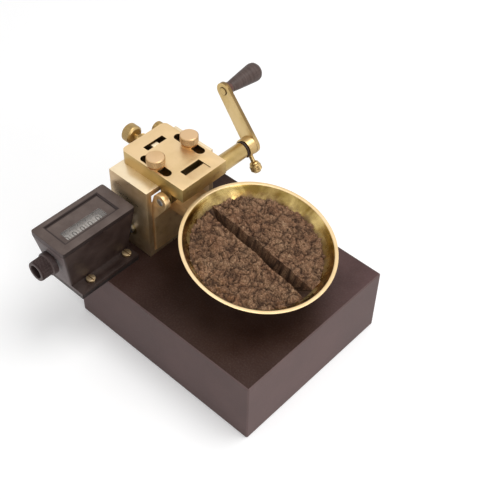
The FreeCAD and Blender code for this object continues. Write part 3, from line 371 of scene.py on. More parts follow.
def knurl(start, end, radius, depth, around, rows, centre, along):
    """A barrel of raised diamonds between two stations, open at both ends.

    Its points carry their ridge value: 1 on a diamond's top, -1 in the groove, and 0 on other turned parts.
    """
    bm = bmesh.new()
    ridge = bm.verts.layers.float.new("ridge")
    length = (end - start) * MM
    bmesh.ops.create_cone(bm, cap_ends=False, segments=2 * around, radius1=radius * MM, radius2=radius * MM,
                          depth=length)
    upright = [edge for edge in bm.edges if abs(edge.verts[0].co.z - edge.verts[1].co.z) > length / 2]
    bmesh.ops.subdivide_edges(bm, edges=upright, cuts=2 * rows - 1)
    valleys = []
    for vert in bm.verts:
        column = round(math.atan2(vert.co.x, vert.co.y) / (math.pi / around))
        row = round((vert.co.z / length + 0.5) * 2 * rows)
        vert[ridge] = 1.0
        if (column + row) % 2:
            valleys.append(vert)
            vert[ridge] = -1.0
            vert.co.xy *= (radius - depth) / radius
    bmesh.ops.connect_verts(bm, verts=valleys)
    turn = Vector((0, 0, 1)).rotation_difference(Vector(along).normalized()).to_matrix().to_4x4()
    middle = Vector(centre) + Vector(along).normalized() * (start + end) / 2 * MM
    bmesh.ops.transform(bm, matrix=Matrix.Translation(middle) @ turn, verts=bm.verts)
    mesh = bpy.data.meshes.new("knurled_barrel")
    bm.to_mesh(mesh)
    bm.free()
    return mesh


def knurled_head(name, centre, along, start, end, radius, rounding, material, body, around, rows, extra=(),
                 replaced=(), depth=0.14):
    """A turned head with a knurled barrel between two rounded ends, and other turned parts on its axis."""
    barrel = knurl(start + rounding, end - rounding, radius, depth, around, rows, centre, along)
    bm = bmesh.new()
    bm.verts.layers.float.new("ridge")
    core = radius - depth
    lathe(bm, [(start, 0), (start, core - rounding), (start + rounding, core), (end - rounding, core),
               (end, core - rounding), (end, 0)], centre, along, steps=72)
    for profile in extra:
        lathe(bm, profile, centre, along, steps=48)
    soften(bm, 0.15 * MM)
    bm.from_mesh(barrel)
    bpy.data.meshes.remove(barrel)
    return finish_piece(name, bm, material, body, replaced, smooth_below=14.0)


def knurl_dirt(tree):
    """Painted shade in the grooves between a knurl's diamonds."""
    return ramp(tree, add(tree, "ShaderNodeAttribute", attribute_name="ridge").outputs["Fac"], 0.1, -1.0, high=0.75)


# Painted shade darkens the grooves of each knurl.
knob_brass = brass("knob_brass", grain=(1, 14, 1), tarnish=0.4, shine=0.26, dirt_and_shade=knurl_dirt,
                   pale=(0.56, 0.395, 0.175), deep=(0.42, 0.285, 0.105))


# Set screw. A brass thumb screw through the hub that grips the shaft: a thin shank with a ball for a
# head, which is knurled round its middle.

SCREW_TURN = math.radians(180 - 33.8)
screw_along = Vector((math.sin(SCREW_TURN), 0, math.cos(SCREW_TURN)))
screw_foot = Vector((SHAFT_X, 80.75 * MM, SHAFT_Z))
knurled_head("crank_set_screw_dressed", screw_foot, screw_along, start=13.4, end=19.4, radius=4.2, rounding=1.2,
             material=knob_brass, body="set_screw", around=34, rows=7, replaced=["crank_set_screw"],
             extra=[[(3.6, 0), (3.6, 1.6), (12.4, 1.6), (12.4, 0)],
                    [(11.6, 0), (11.6, 1.9), (12.3, 3.0), (13.4, 3.6), (13.4, 0)],
                    [(19.4, 0), (19.4, 3.0), (20.2, 2.1), (20.6, 0)]])


# Handle. Turned black wood or plastic that widens to a rounded end and spins on the spindle, with a
# dark brown collar at its root.

handle_black, tree, shader = start_material("handle_black", Specular_IOR_Level=0.28)
turning = speckle(tree, place(tree, stretch=(1, 16, 1)), 40.0, detail=5.0)
pores = speckle(tree, place(tree, stretch=(1, 0.2, 1)), 1100.0, detail=3.0, low=0.45, high=0.75)
tone = blended(tree, turning, (0.062, 0.039, 0.032), (0.106, 0.074, 0.066))
tree.links.new(blended(tree, scaled(tree, pores, 0.0, 0.35), tone, (0.03, 0.02, 0.018)), shader.inputs["Base Color"])
tree.links.new(scaled(tree, turning, 0.42, 0.6), shader.inputs["Roughness"])
bumped(tree, shader, pores, 0.00004, 0.6)

HANDLE_START, COLLAR_END, SPINDLE_BORE, BORE_END = 87.5, 2.6, 2.05, 24

collar_brown, tree, shader = start_material("collar_brown", Specular_IOR_Level=0.4)
worn = speckle(tree, place(tree), 420.0)
tree.links.new(blended(tree, worn, (0.075, 0.028, 0.020), (0.135, 0.058, 0.042)), shader.inputs["Base Color"])
tree.links.new(scaled(tree, worn, 0.35, 0.55), shader.inputs["Roughness"])
handle_foot = Vector((HANDLE_X * MM, HANDLE_START * MM, HANDLE_Z * MM))
bm = bmesh.new()
lathe(bm, [(0, SPINDLE_BORE), (0, 3.9), (0.3, 4.25), (2.2, 4.3), (COLLAR_END, 4.1), (COLLAR_END, 3.85), (3.0, 3.8),
           (3.4, 3.95), (8, 4.65), (18, 5.9), (25.0, 6.75), (27.2, 6.85), (29.2, 6.35), (30.6, 5.1), (31.3, 3.2),
           (31.5, 0)], handle_foot, (0, 1, 0), steps=80)
lathe(bm, [(0, SPINDLE_BORE), (BORE_END, SPINDLE_BORE), (BORE_END, 0)], handle_foot, (0, 1, 0), steps=40)
for face in bm.faces:
    if face.calc_center_median().y < (HANDLE_START + COLLAR_END) * MM:
        face.material_index = 1
finish_piece("crank_handle_dressed", bm, [handle_black, collar_brown], "handle", ["crank_handle"])


# Carriage. A thick brass plate that slides on the deck, with two long slots for its clamp screws and
# two cross slots. Its top is fly-cut, so it is pale and shows faint tool marks, and painted shade darkens
# its sides and the walls inside its slots.

SLOT_REGION = ((-73.6, -21.2), (-18.2, 18.2))


def slot_walls(tree):
    """Painted shade on the walls inside the plate's slots, away from its top and its outer sides."""
    place_at = add(tree, "ShaderNodeSeparateXYZ", {"Vector": place(tree)})
    inside = faces(tree, "Z", 0.75, 0.35)
    for way, (low, high) in zip("XY", SLOT_REGION):
        middle, half = (low + high) / 2 * MM, (high - low) / 2 * MM
        within = worked(tree, "COMPARE", place_at.outputs[way], middle, half)
        inside = worked(tree, "MULTIPLY", inside, within)
    return scaled(tree, inside, 0.0, 0.7)


top_brass = brass("fly_cut_brass", grain=(2, 7, 7), tarnish=0.1, shine=0.3, paler="Z", side_shade=0.85, dirt_and_shade=slot_walls,
                  pale=(0.82, 0.60, 0.34), deep=(0.72, 0.52, 0.27), brown=(0.34, 0.235, 0.05))
softened_copy("carriage_plate_dressed", "carriage_plate", top_brass, "carriage", 0.4 * MM, 3)


# Clamp screws. Two brass thumb screws go through the carriage's long slots into the deck and hold the
# plate down. Each has a knurled head with a flat top, and stands on a thin washer.

CLAMP_X, CLAMP_Y = -47.7 * MM, 14.3 * MM
SHANK_FOOT, NECK_FOOT, HEAD_FOOT, HEAD_TOP = 101, 115.9, 117.3, 122.5
# Painted shade darkens the side faces of heads and washers, and the grooves of the knurl.
clamp_brass = brass("clamp_brass", grain=(1, 1, 12), tarnish=0.25, shine=0.3, paler="Z", side_shade=0.65, dirt_and_shade=knurl_dirt,
                    pale=(0.78, 0.53, 0.30), deep=(0.66, 0.44, 0.22), brown=(0.42, 0.24, 0.07))
dress(clamp_brass, "clamp_washers")
for side, body in ((-1, "left_clamp"), (1, "right_clamp")):
    knurled_head(body + "_screw_dressed", (CLAMP_X, side * CLAMP_Y, 0), (0, 0, 1), start=HEAD_FOOT, end=HEAD_TOP,
                 radius=6.0, rounding=0.6, material=clamp_brass, body=body, around=60, rows=7,
                 replaced=[body + "_screw"],
                 extra=[[(SHANK_FOOT, 0), (SHANK_FOOT, 2.0), (NECK_FOOT, 2.0), (NECK_FOOT, 4.4), (HEAD_FOOT, 4.4),
                         (HEAD_FOOT, 0)]])


# Adjusting gear. The screw behind the carriage turns in a post on the deck and moves the carriage;
# a knurled nut locks it, and a small screw beside it holds the setting.

ADJUSTER_Z = 110 * MM


def thread(bm, start, end, root, crest, pitch, centre, along, steps=20):
    """A screw thread between two stations: one tooth swept round and along, its turns joined."""
    along = Vector(along).normalized()
    out = along.orthogonal().normalized()
    tooth = [(0, root), (pitch * 0.35, crest), (pitch * 0.65, crest), (pitch, root)]
    points = [bm.verts.new(Vector(centre) + along * (start + station) * MM + out * radius * MM)
              for station, radius in tooth]
    edges = [bm.edges.new(pair) for pair in zip(points, points[1:])]
    turns = int((end - start) / pitch) - 1
    bmesh.ops.spin(bm, geom=points + edges, cent=centre, axis=along, dvec=along * pitch * MM / steps,
                   angle=2 * math.pi * turns, steps=steps * turns, use_merge=False, use_duplicate=False)
    bmesh.ops.remove_doubles(bm, verts=bm.verts, dist=0.002 * MM)


KNOB_BACK, KNOB_FRONT, SCREW_END = -89.1, -81.6, -61.9
LOCK_SCREW_Y, LOCK_HEAD_FRONT = 15.2, -74.6
knurled_head("adjusting_screw_dressed", (0, 0, ADJUSTER_Z), (1, 0, 0), start=KNOB_BACK, end=KNOB_FRONT, radius=6.3,
             rounding=1.3, material=knob_brass, body="adjuster", around=44, rows=5, replaced=["adjusting_screw"],
             extra=[[(KNOB_FRONT - 0.1, 0), (KNOB_FRONT - 0.1, 1.75), (SCREW_END, 1.75), (SCREW_END, 0)]])
bm = bmesh.new()
thread(bm, start=KNOB_FRONT, end=SCREW_END - 0.3, root=1.6, crest=2.0, pitch=0.75, centre=(0, 0, ADJUSTER_Z),
       along=(1, 0, 0))
finish_piece("adjusting_screw_thread", bm, turned_brass, "adjuster")
knurled_head("lock_nut_dressed", (0, 0, ADJUSTER_Z), (1, 0, 0), start=-77.2, end=LOCK_HEAD_FRONT, radius=4.5,
             rounding=0.4, material=knob_brass, body="lock_nut", around=38, rows=4, replaced=["adjuster_lock_nut"],
             depth=0.2)
knurled_head("lock_screw_dressed", (0, LOCK_SCREW_Y * MM, ADJUSTER_Z), (1, 0, 0), start=-78.6, end=LOCK_HEAD_FRONT,
             radius=4.7, rounding=0.5, material=knob_brass, body="side_screw", around=36, rows=4,
             replaced=["lock_screw"],
             extra=[[(LOCK_HEAD_FRONT - 0.1, 0), (LOCK_HEAD_FRONT - 0.1, 1.5), (-65.8, 1.5), (-65.8, 0)]])
softened_copy("adjusting_post_dressed", "adjusting_post", milled_brass, "base", 0.2 * MM)


# Cup hanger. A brass plate with two ears hangs on the hinge pin between the frame's walls, and a
# block riveted to its face carries the cup.

hanger_brass = brass("hanger_brass", grain=(9, 9, 1), tarnish=0.8, shine=0.24, metal=0.75,
                     pale=(0.92, 0.65, 0.35), deep=(0.68, 0.43, 0.19), brown=(0.42, 0.21, 0.08))
softened_copy("hanger_yoke_dressed", "hanger_yoke", hanger_brass, "cup_hanger", 0.3 * MM)
softened_copy("hanger_arm_dressed", "hanger_arm", hanger_brass, "cup_hanger", 0.3 * MM)
softened_copy("hanger_rivets_dressed", "hanger_rivets", clamp_brass, "cup_hanger", 0.15 * MM)


# Cup. A shallow bowl spun from sheet brass and polished, so fine rings run round it. It is part of a
# ball, 54 mm in radius inside and 2 mm thick, and hangs tilted by 11 degrees.

CUP_MIDDLE = Vector((25.1 * MM, 0, 87.8 * MM))
CUP_TILT = math.radians(11)
CUP_RADIUS, CUP_WALL, CUP_DEPTH = 54.0, 2.0, 27.0
cup_place = Matrix.Translation(CUP_MIDDLE) @ Matrix.Rotation(CUP_TILT, 4, "Y")
rim_half_angle = math.acos((CUP_RADIUS - CUP_DEPTH) / CUP_RADIUS)
outer_half_angle = math.acos((CUP_RADIUS - CUP_DEPTH) / (CUP_RADIUS + CUP_WALL))

RIM_PALE, RIM_DEEP = (0.82, 0.61, 0.345), (0.74, 0.53, 0.27)
WALL_PALE, WALL_DEEP, WALL_BROWN = (0.74, 0.55, 0.22), (0.24, 0.155, 0.036), (0.18, 0.085, 0.022)
SMEAR_BROWN = (0.13, 0.070, 0.038)

spun_brass, tree, shader = start_material("spun_brass")
in_cup = place(tree, shift=tuple(CUP_MIDDLE), turn=(0, -CUP_TILT, 0))
height = add(tree, "ShaderNodeSeparateXYZ", {"Vector": in_cup}).outputs["Z"]
is_rim = ramp(tree, height, -0.5 * MM, -0.15 * MM)
rings = speckle(tree, add(tree, "ShaderNodeMapping", {"Vector": in_cup, "Scale": (0.6, 0.6, 14)}).outputs[0], 60.0,
                detail=4.0, low=0.3, high=0.7)
patches = speckle(tree, place(tree), 42.0, detail=4.0, low=0.36, high=0.60, distortion=0.8)
stains = speckle(tree, place(tree), 95.0, detail=5.0, low=0.5, high=0.75)
rim = blended(tree, patches, RIM_PALE, RIM_DEEP)
wall = blended(tree, scaled(tree, stains, 0.0, 0.8), blended(tree, patches, WALL_PALE, WALL_DEEP), WALL_BROWN)
low_down = ramp(tree, height, -3.0 * MM, -9.0 * MM)
from_ball = add(tree, "ShaderNodeVectorMath", {0: in_cup, 1: (0, 0, (CUP_RADIUS - CUP_DEPTH) * MM)},
                operation="DISTANCE").outputs["Value"]
inside = ramp(tree, from_ball, (CUP_RADIUS + 1.2) * MM, (CUP_RADIUS + 0.8) * MM)
smears = worked(tree, "MULTIPLY", worked(tree, "MULTIPLY", low_down, inside),
                speckle(tree, place(tree), 150.0, detail=6.0, low=0.4, high=0.6))
metal = blended(tree, is_rim, wall, rim)
tree.links.new(blended(tree, smears, metal, SMEAR_BROWN), shader.inputs["Base Color"])
bright = worked(tree, "MULTIPLY", scaled(tree, smears, 1.0, 0.25), scaled(tree, is_rim, 1.0, 0.3))
tree.links.new(bright, shader.inputs["Metallic"])
dulled = worked(tree, "MAXIMUM", scaled(tree, smears, 0.0, 0.45), scaled(tree, is_rim, 0.0, 0.2))
tree.links.new(worked(tree, "ADD", scaled(tree, rings, 0.12, 0.24), dulled), shader.inputs["Roughness"])
bumped(tree, shader, rings, 0.000005, 0.6)

bm = bmesh.new()
ball_centre = Vector((0, 0, (CUP_RADIUS - CUP_DEPTH) * MM))
for radius, reach in ((CUP_RADIUS, rim_half_angle), (CUP_RADIUS + CUP_WALL, outer_half_angle)):
    foot = bm.verts.new(ball_centre - Vector((0, 0, radius * MM)))
    bmesh.ops.spin(bm, geom=[foot], cent=ball_centre, axis=(0, -1, 0), dvec=(0, 0, 0), angle=reach, steps=26,
                   use_merge=False, use_duplicate=False)
bm.verts.ensure_lookup_table()
rim_ends = sorted((vert for vert in bm.verts if abs(vert.co.z) < 0.01 * MM), key=lambda vert: vert.co.x)
bm.edges.new(rim_ends)
bmesh.ops.spin(bm, geom=bm.verts[:] + bm.edges[:], cent=(0, 0, 0), axis=(0, 0, 1), dvec=(0, 0, 0), angle=2 * math.pi,
               steps=160, use_merge=True, use_duplicate=False)
bmesh.ops.remove_doubles(bm, verts=bm.verts, dist=0.002 * MM)
bmesh.ops.recalc_face_normals(bm, faces=bm.faces)
soften(bm, 0.45 * MM, 3)
bmesh.ops.transform(bm, matrix=cup_place, verts=bm.verts)
finish_piece("cup_dressed", bm, spun_brass, "cup_hanger", ["cup"])


# Soil. Crumbly brown clay pressed into the cup a little below the rim, with a groove drawn through it
# from back to front. Clods stand up between cracks, with painted highlight on their tops and painted shade
# in the cracks and down the groove, and its edge is ragged against the brass.

SOIL_RINGS, SOIL_SPOKES = 125, 540
SOIL_EDGE_BELOW, SOIL_RISE, SOIL_RADIUS = 6.2, 2.2, 43.0
GROOVE_HALF_TOP, GROOVE_HALF_BOTTOM = 3.9, 1.0


def wandering(x, y, size, seed):
    """Smooth noise from -1 to 1 whose features are about so many millimetres across."""
    return noise.noise(Vector((x / size + seed * 17.3, y / size - seed * 5.1, seed * 3.7)))


def clods(x, y, size, seed):
    """How far into a clod a point lies, from 0 in the crack round it to 1 at its middle."""
    where = Vector((x + 0.45 * size * wandering(x, y, 0.8 * size, seed),
                    y + 0.45 * size * wandering(y, x, 0.8 * size, seed + 1), seed * 9.0)) / size
    distances = noise.voronoi(where)[0]
    return min(1.0, (distances[1] - distances[0]) * 1.6)


def groove_side(x, y):
    """How far a point lies from the groove's wandering middle line, in mm, to its right."""
    return y + 0.7 * wandering(x, 0.0, 14.0, 6) + 0.25 * wandering(x, 0.0, 3.0, 7)


def groove_half(x, side):
    """Half the groove's width at the soil's top: narrower at the back, and crumbled along its right edge."""
    half = GROOVE_HALF_TOP * (1.0 + 0.12 * wandering(x, 0.0, 16.0, 8)) * min(1.0, 0.62 + (x + 42) / 110)
    if side > 0:
        half += 0.7 * wandering(x, 0.0, 4.5, 12) + 0.35 * wandering(x, 0.0, 1.7, 13)
    return half


def soil_height(x, y):
    """Height of the soil over the rim's plane, in mm, at a point of the cup, and its tone, which sets painted shade
    in the cracks and the groove and painted highlight on the clods' tops.
    """
    out = math.hypot(x, y)
    level = -SOIL_EDGE_BELOW + SOIL_RISE * (1 - (out / SOIL_RADIUS) ** 2)
    crumbly = 0.5 + 0.5 * wandering(x, y, 17.0, 9)
    big = clods(x, y, 7.0, 1)
    middling = clods(x, y, 3.1, 2)
    small = clods(x, y, 1.5, 10)
    lumps = noise.turbulence(Vector((x / 5.0, y / 5.0, 3.3)), 4, False, amplitude_scale=0.55, frequency_scale=2.1)
    rough = (1.5 * (big ** 0.4 - 0.75) * (0.45 + crumbly) + 1.3 * (middling ** 0.5 - 0.65)
             + 0.9 * (small ** 0.6 - 0.6) * (1.4 - crumbly) + 1.6 * (lumps - 0.5))
    rough += 0.3 * wandering(x, y, 0.8, 5)
    # The tone is low in the cracks between clods, where painted shade goes.
    tone = 0.40 * big ** 0.5 + 0.35 * middling + 0.25 * small
    side = groove_side(x, y)
    half_top = groove_half(x, side)
    side = abs(side)
    calm = min(1.0, max(0.0, (side - half_top) / 1.6))
    level += 1.1 * wandering(x, y, 13.0, 3) + rough * (0.25 + 0.75 * calm)
    # Down the groove's walls the tone falls, for painted shade.
    if side < half_top:
        into = min(1.0, (half_top - side) / (half_top - GROOVE_HALF_BOTTOM))
        return level - (level + CUP_DEPTH) * into ** 0.8, tone * (1 - 0.75 * into)
    return level, tone


def cup_floor(x, y):
    """Height of the cup's inner face over the rim's plane, in mm, just clear of the brass."""
    reach = CUP_RADIUS - 0.15
    return (CUP_RADIUS - CUP_DEPTH) - math.sqrt(max(0.0, reach ** 2 - x * x - y * y))


def soil_edge(angle):
    """Where the soil's top meets the cup's wall in that direction, in mm from the middle."""
    near, far = 30.0, 47.0
    for halving in range(9):
        out = (near + far) / 2
        x, y = out * math.cos(angle), out * math.sin(angle)
        if soil_height(x, y)[0] > cup_floor(x, y):
            near = out
        else:
            far = out
    return near


bm = bmesh.new()
line = [bm.verts.new((ring / SOIL_RINGS * 1.0, 0, 0)) for ring in range(SOIL_RINGS + 1)]
chain = [bm.edges.new(pair) for pair in zip(line, line[1:])]
bmesh.ops.spin(bm, geom=line + chain, cent=(0, 0, 0), axis=(0, 0, 1), dvec=(0, 0, 0), angle=2 * math.pi,
               steps=SOIL_SPOKES, use_merge=True, use_duplicate=False)
bmesh.ops.remove_doubles(bm, verts=bm.verts, dist=1e-6)
bmesh.ops.recalc_face_normals(bm, faces=bm.faces)
edge_at = {}
deep = bm.verts.layers.float.new("depth")
for vert in bm.verts:
    share, angle = vert.co.xy.length, math.atan2(vert.co.y, vert.co.x)
    key = round(angle, 4)
    if key not in edge_at:
        edge_at[key] = soil_edge(angle)
    out = share * edge_at[key]
    x, y = out * math.cos(angle), out * math.sin(angle)
    side = groove_side(x, y)
    lip = groove_half(x, side)
    if abs(abs(side) - lip) < 0.3 and share < 0.99:
        y += math.copysign(lip, side) - side
    height, vert[deep] = soil_height(x, y)
    height = max(height, cup_floor(x, y))
    if share > 0.999:
        height = cup_floor(x, y)
    vert.co = (x * MM, y * MM, height * MM)
border = [edge for edge in bm.edges if len(edge.link_faces) == 1]
for share in (0.96, 0.86, 0.72, 0.55, 0.36, 0.17):
    made = bmesh.ops.extrude_edge_only(bm, edges=border)["geom"]
    border = [part for part in made if isinstance(part, bmesh.types.BMEdge)
              and len(part.link_faces) == 1]
    for vert in {vert for edge in border for vert in edge.verts}:
        out = vert.co.xy.length / MM
        factor = share * SOIL_RADIUS / out
        x, y = vert.co.x / MM * factor, vert.co.y / MM * factor
        vert.co = (x * MM, y * MM, cup_floor(x, y) * MM)
bmesh.ops.contextual_create(bm, geom=border)
bmesh.ops.recalc_face_normals(bm, faces=bm.faces)
bmesh.ops.transform(bm, matrix=cup_place, verts=bm.verts)

SOIL_PALE, SOIL_BROWN, SOIL_DARK = (0.52, 0.325, 0.190), (0.36, 0.190, 0.105), (0.125, 0.054, 0.027)
SOIL_HIGHLIGHT, SOIL_CRACK_SHADE, GRIT = (0.56, 0.40, 0.25), (0.048, 0.023, 0.013), (0.36, 0.26, 0.17)

soil, tree, shader = start_material("soil_clay", Specular_IOR_Level=0.25)
into_clod = add(tree, "ShaderNodeAttribute", attribute_name="depth").outputs["Fac"]
crumbs = speckle(tree, place(tree), 950.0, detail=6.0, low=0.34, high=0.66)
patches = speckle(tree, place(tree), 90.0, detail=4.0)
grit = speckle(tree, place(tree), 3600.0, detail=2.0, low=0.62, high=0.72)
light_soil = blended(tree, patches, SOIL_PALE, SOIL_BROWN)
body_soil = blended(tree, crumbs, SOIL_DARK, light_soil)
# Painted highlight on the clods' tops.
clod_top_highlight = ramp(tree, into_clod, 0.62, 0.95)
highlit_soil = blended(tree, scaled(tree, clod_top_highlight, 0.0, 0.45), body_soil, SOIL_HIGHLIGHT)
# Painted shade in the cracks between clods and down the groove.
crack_shaded_soil = blended(tree, ramp(tree, into_clod, 0.12, 0.5), SOIL_CRACK_SHADE, highlit_soil)
tree.links.new(blended(tree, scaled(tree, grit, 0.0, 0.5), crack_shaded_soil, GRIT), shader.inputs["Base Color"])
tree.links.new(scaled(tree, crumbs, 0.68, 0.92), shader.inputs["Roughness"])
bumped(tree, shader, crumbs, 0.0005, 0.9)
finish_piece("soil_dressed", bm, soil, "cup_hanger",
             ["soil_left_half", "soil_right_half"], smooth_below=75.0)


# Counter's foot. A dark steel plate is screwed to the block, and the case's flange stands on it, held
# by two slotted brass screws with round heads.

plate_steel = steel("dark_plate", (0.10, 0.085, 0.08), (24, 1, 1), 0.4)
dress(plate_steel, "mounting_plate")
# Painted shade darkens the screws' side faces; their tops stay pale.
case_screw_brass = brass("case_screw_brass", tarnish=0.2, shine=0.3, paler="Z", side_shade=0.8,
                         pale=(0.80, 0.62, 0.38), deep=(0.60, 0.45, 0.24))
softened_copy("case_screws_dressed", "case_screws", case_screw_brass, "base", 0.3 * MM)


# Counter case. A cast box that narrows to its foot, enamelled black. Its rim is rubbed grey, a painted
# highlight lightens its end towards -Y, and painted shade darkens a band along the step round the sunk
# panel with the window.

def enamel(name, dark, paler, lit_end, rough=0.42, relief=0.00006):
    """Black enamel, mottled between two tones, with a painted highlight, a lighter tone of its own, on the faces
    towards -Y.

    Returns the material, its tree and shader, and its colour without and with that tone.
    """
    material, tree, shader = start_material(name, Specular_IOR_Level=0.25)
    mottle = speckle(tree, place(tree), 75.0, detail=6.0)
    grains = speckle(tree, place(tree), 1300.0, detail=3.0)
    body = blended(tree, mottle, dark, paler)
    lit_end_mask = faces(tree, "Y", -0.6, -0.9)
    colour = blended(tree, lit_end_mask, body, lit_end)
    tree.links.new(colour, shader.inputs["Base Color"])
    tree.links.new(scaled(tree, mottle, rough, rough + 0.15), shader.inputs["Roughness"])
    bumped(tree, shader, grains, relief, 0.7)
    return material, tree, shader, body, colour


# Painted highlight: the lighter tone of the faces towards -Y.
BEZEL_LIT_END = (0.12, 0.092, 0.088)
case_black = enamel("case_enamel", (0.023, 0.0125, 0.010), (0.044, 0.027, 0.022), (0.155, 0.118, 0.114))[0]
bezel_black, tree, shader, body = enamel("bezel_enamel", (0.080, 0.056, 0.048), (0.125, 0.094, 0.082), BEZEL_LIT_END,
                                         0.5)[:4]
PANEL_MIDDLE, PANEL_HALF = (-65.60, -61.15), (9.70, 20.75)
place_at = add(tree, "ShaderNodeSeparateXYZ", {"Vector": place(tree)})
past_sides = []
for way, middle, half in zip("XY", PANEL_MIDDLE, PANEL_HALF):
    off_middle = worked(tree, "ABSOLUTE", worked(tree, "SUBTRACT", place_at.outputs[way], middle * MM))
    past_sides.append(worked(tree, "SUBTRACT", off_middle, half * MM))
from_step = worked(tree, "ABSOLUTE", worked(tree, "MAXIMUM", *past_sides))
# Painted shade: a dark band along the step round the sunk panel.
step_shade = ramp(tree, from_step, 1.1 * MM, 0.4 * MM)
top_tone = blended(tree, step_shade, body, (0.024, 0.015, 0.013))
# Painted highlight on the bezel's faces towards -Y; its other sides are dark.
side_tone = blended(tree, faces(tree, "Y", -0.6, -0.9), (0.022, 0.013, 0.011), BEZEL_LIT_END)
tree.links.new(blended(tree, faces(tree, "Z", 0.3, 0.9), side_tone, top_tone), shader.inputs["Base Color"])
softened_copy("counter_case_dressed", "counter_case", case_black, "base", 0.3 * MM)
softened_copy("counter_bezel_dressed", "counter_bezel", bezel_black, "base", 0.35 * MM, 3)

window, tree, shader = start_material("window_pane", Roughness=0.12, Alpha=0.24)
haze = speckle(tree, place(tree), 140.0)
tree.links.new(blended(tree, haze, (0.36, 0.33, 0.31), (0.50, 0.46, 0.43)), shader.inputs["Base Color"])
scuffs = speckle(tree, place(tree, stretch=(1, 0.2, 1)), 700.0)
bumped(tree, shader, scuffs, 0.00001, 0.4)
dress(window, "counter_window")


# Number wheels. Five white plastic wheels with the digits 0 to 9 printed round them, side by side on
# the wheel shaft under the window; each turns a tenth of the one before.

WHEEL_X, WHEEL_Z, WHEEL_RADIUS = -64.5, 74.5, 10.3
WHEEL_PITCH, WHEEL_WIDTH, FIRST_WHEEL_END = 6.2, 5.8, -47.05
DIGIT_HEIGHT = 4.7
SHOWN_AT = math.radians(6)

wheel_white, tree, shader = start_material("wheel_white", Specular_IOR_Level=0.4)
yellowing = speckle(tree, place(tree), 300.0)
tree.links.new(blended(tree, yellowing, (0.85, 0.81, 0.75), (0.76, 0.71, 0.64)), shader.inputs["Base Color"])
tree.links.new(scaled(tree, yellowing, 0.35, 0.5), shader.inputs["Roughness"])
digit_ink, tree, shader = start_material("digit_ink", Roughness=0.55)
thin = speckle(tree, place(tree), 2600.0)
tree.links.new(blended(tree, thin, (0.012, 0.011, 0.010), (0.05, 0.045, 0.04)), shader.inputs["Base Color"])


def digit_mesh(digit):
    """A printed digit lying flat about the origin, its foot towards +X when it is placed."""
    text = bpy.data.curves.new("digit", "FONT")
    text.body = str(digit)
    text.align_x, text.align_y = "CENTER", "CENTER"
    text.size = DIGIT_HEIGHT / 0.72 * MM
    text.extrude = 0.06 * MM
    text.offset = 0.09 * MM
    text.resolution_u = 3
    carrier = bpy.data.objects.new("digit", text)
    bpy.context.scene.collection.objects.link(carrier)
    bpy.context.view_layer.update()
    mesh = bpy.data.meshes.new_from_object(carrier.evaluated_get(bpy.context.evaluated_depsgraph_get()))
    bpy.data.objects.remove(carrier)
    bpy.data.curves.remove(text)
    return mesh


def print_digit(flat, digit, middle):
    """The digit bent round a wheel, at its place on it."""
    bm = bmesh.new()
    bm.from_mesh(flat)
    for cut_at in (-1.6, -0.8, 0.0, 0.8, 1.6):
        bmesh.ops.bisect_plane(bm, geom=bm.verts[:] + bm.edges[:] + bm.faces[:], plane_co=(0, cut_at * MM, 0),
                               plane_no=(0, 1, 0), dist=1e-7)
    for vert in bm.verts:
        angle = SHOWN_AT + digit * math.pi / 5 - vert.co.y / (WHEEL_RADIUS * MM)
        out = WHEEL_RADIUS * MM + vert.co.z
        vert.co = (WHEEL_X * MM + out * math.sin(angle), middle * MM + vert.co.x,
                   WHEEL_Z * MM + out * math.cos(angle))
    for face in bm.faces:
        face.material_index = 1
    mesh = bpy.data.meshes.new("printed_digit")
    bm.to_mesh(mesh)
    bm.free()
    return mesh


flat_digits = [digit_mesh(digit) for digit in range(10)]
for wheel in range(5):
    end = FIRST_WHEEL_END - wheel * WHEEL_PITCH - 0.2
    middle = end - WHEEL_WIDTH / 2
    bm = bmesh.new()
    lathe(bm, [(end - WHEEL_WIDTH, 2.05), (end - WHEEL_WIDTH, WHEEL_RADIUS), (end, WHEEL_RADIUS), (end, 2.05),
               (end - WHEEL_WIDTH, 2.05)], (WHEEL_X * MM, 0, WHEEL_Z * MM), (0, 1, 0), steps=80)
    soften(bm, 0.2 * MM, 1)
    for digit, flat in enumerate(flat_digits):
        printed = print_digit(flat, digit, middle)
        bm.from_mesh(printed)
        bpy.data.meshes.remove(printed)
    node = "number_wheel_%d" % (wheel + 1)
    finish_piece(node + "_dressed", bm, [wheel_white, digit_ink], "wheel_%d" % (wheel + 1), [node])
for flat in flat_digits:
    bpy.data.meshes.remove(flat)


# Reset knob. It sits on the end of the wheel shaft, outside the case: black plastic with a collar, a
# grip with a diamond knurl whose ridges carry a painted grey highlight, and a hollow in its end.

KNOB_FACE = -88.32
# Painted highlight lightens the knob's faces towards -Y.
knob_black, tree, shader, _, colour = enamel("knob_black", (0.034, 0.019, 0.017), (0.052, 0.032, 0.030),
                                             (0.10, 0.07, 0.065), 0.4, 0.00003)
ridge = add(tree, "ShaderNodeAttribute", attribute_name="ridge").outputs["Fac"]
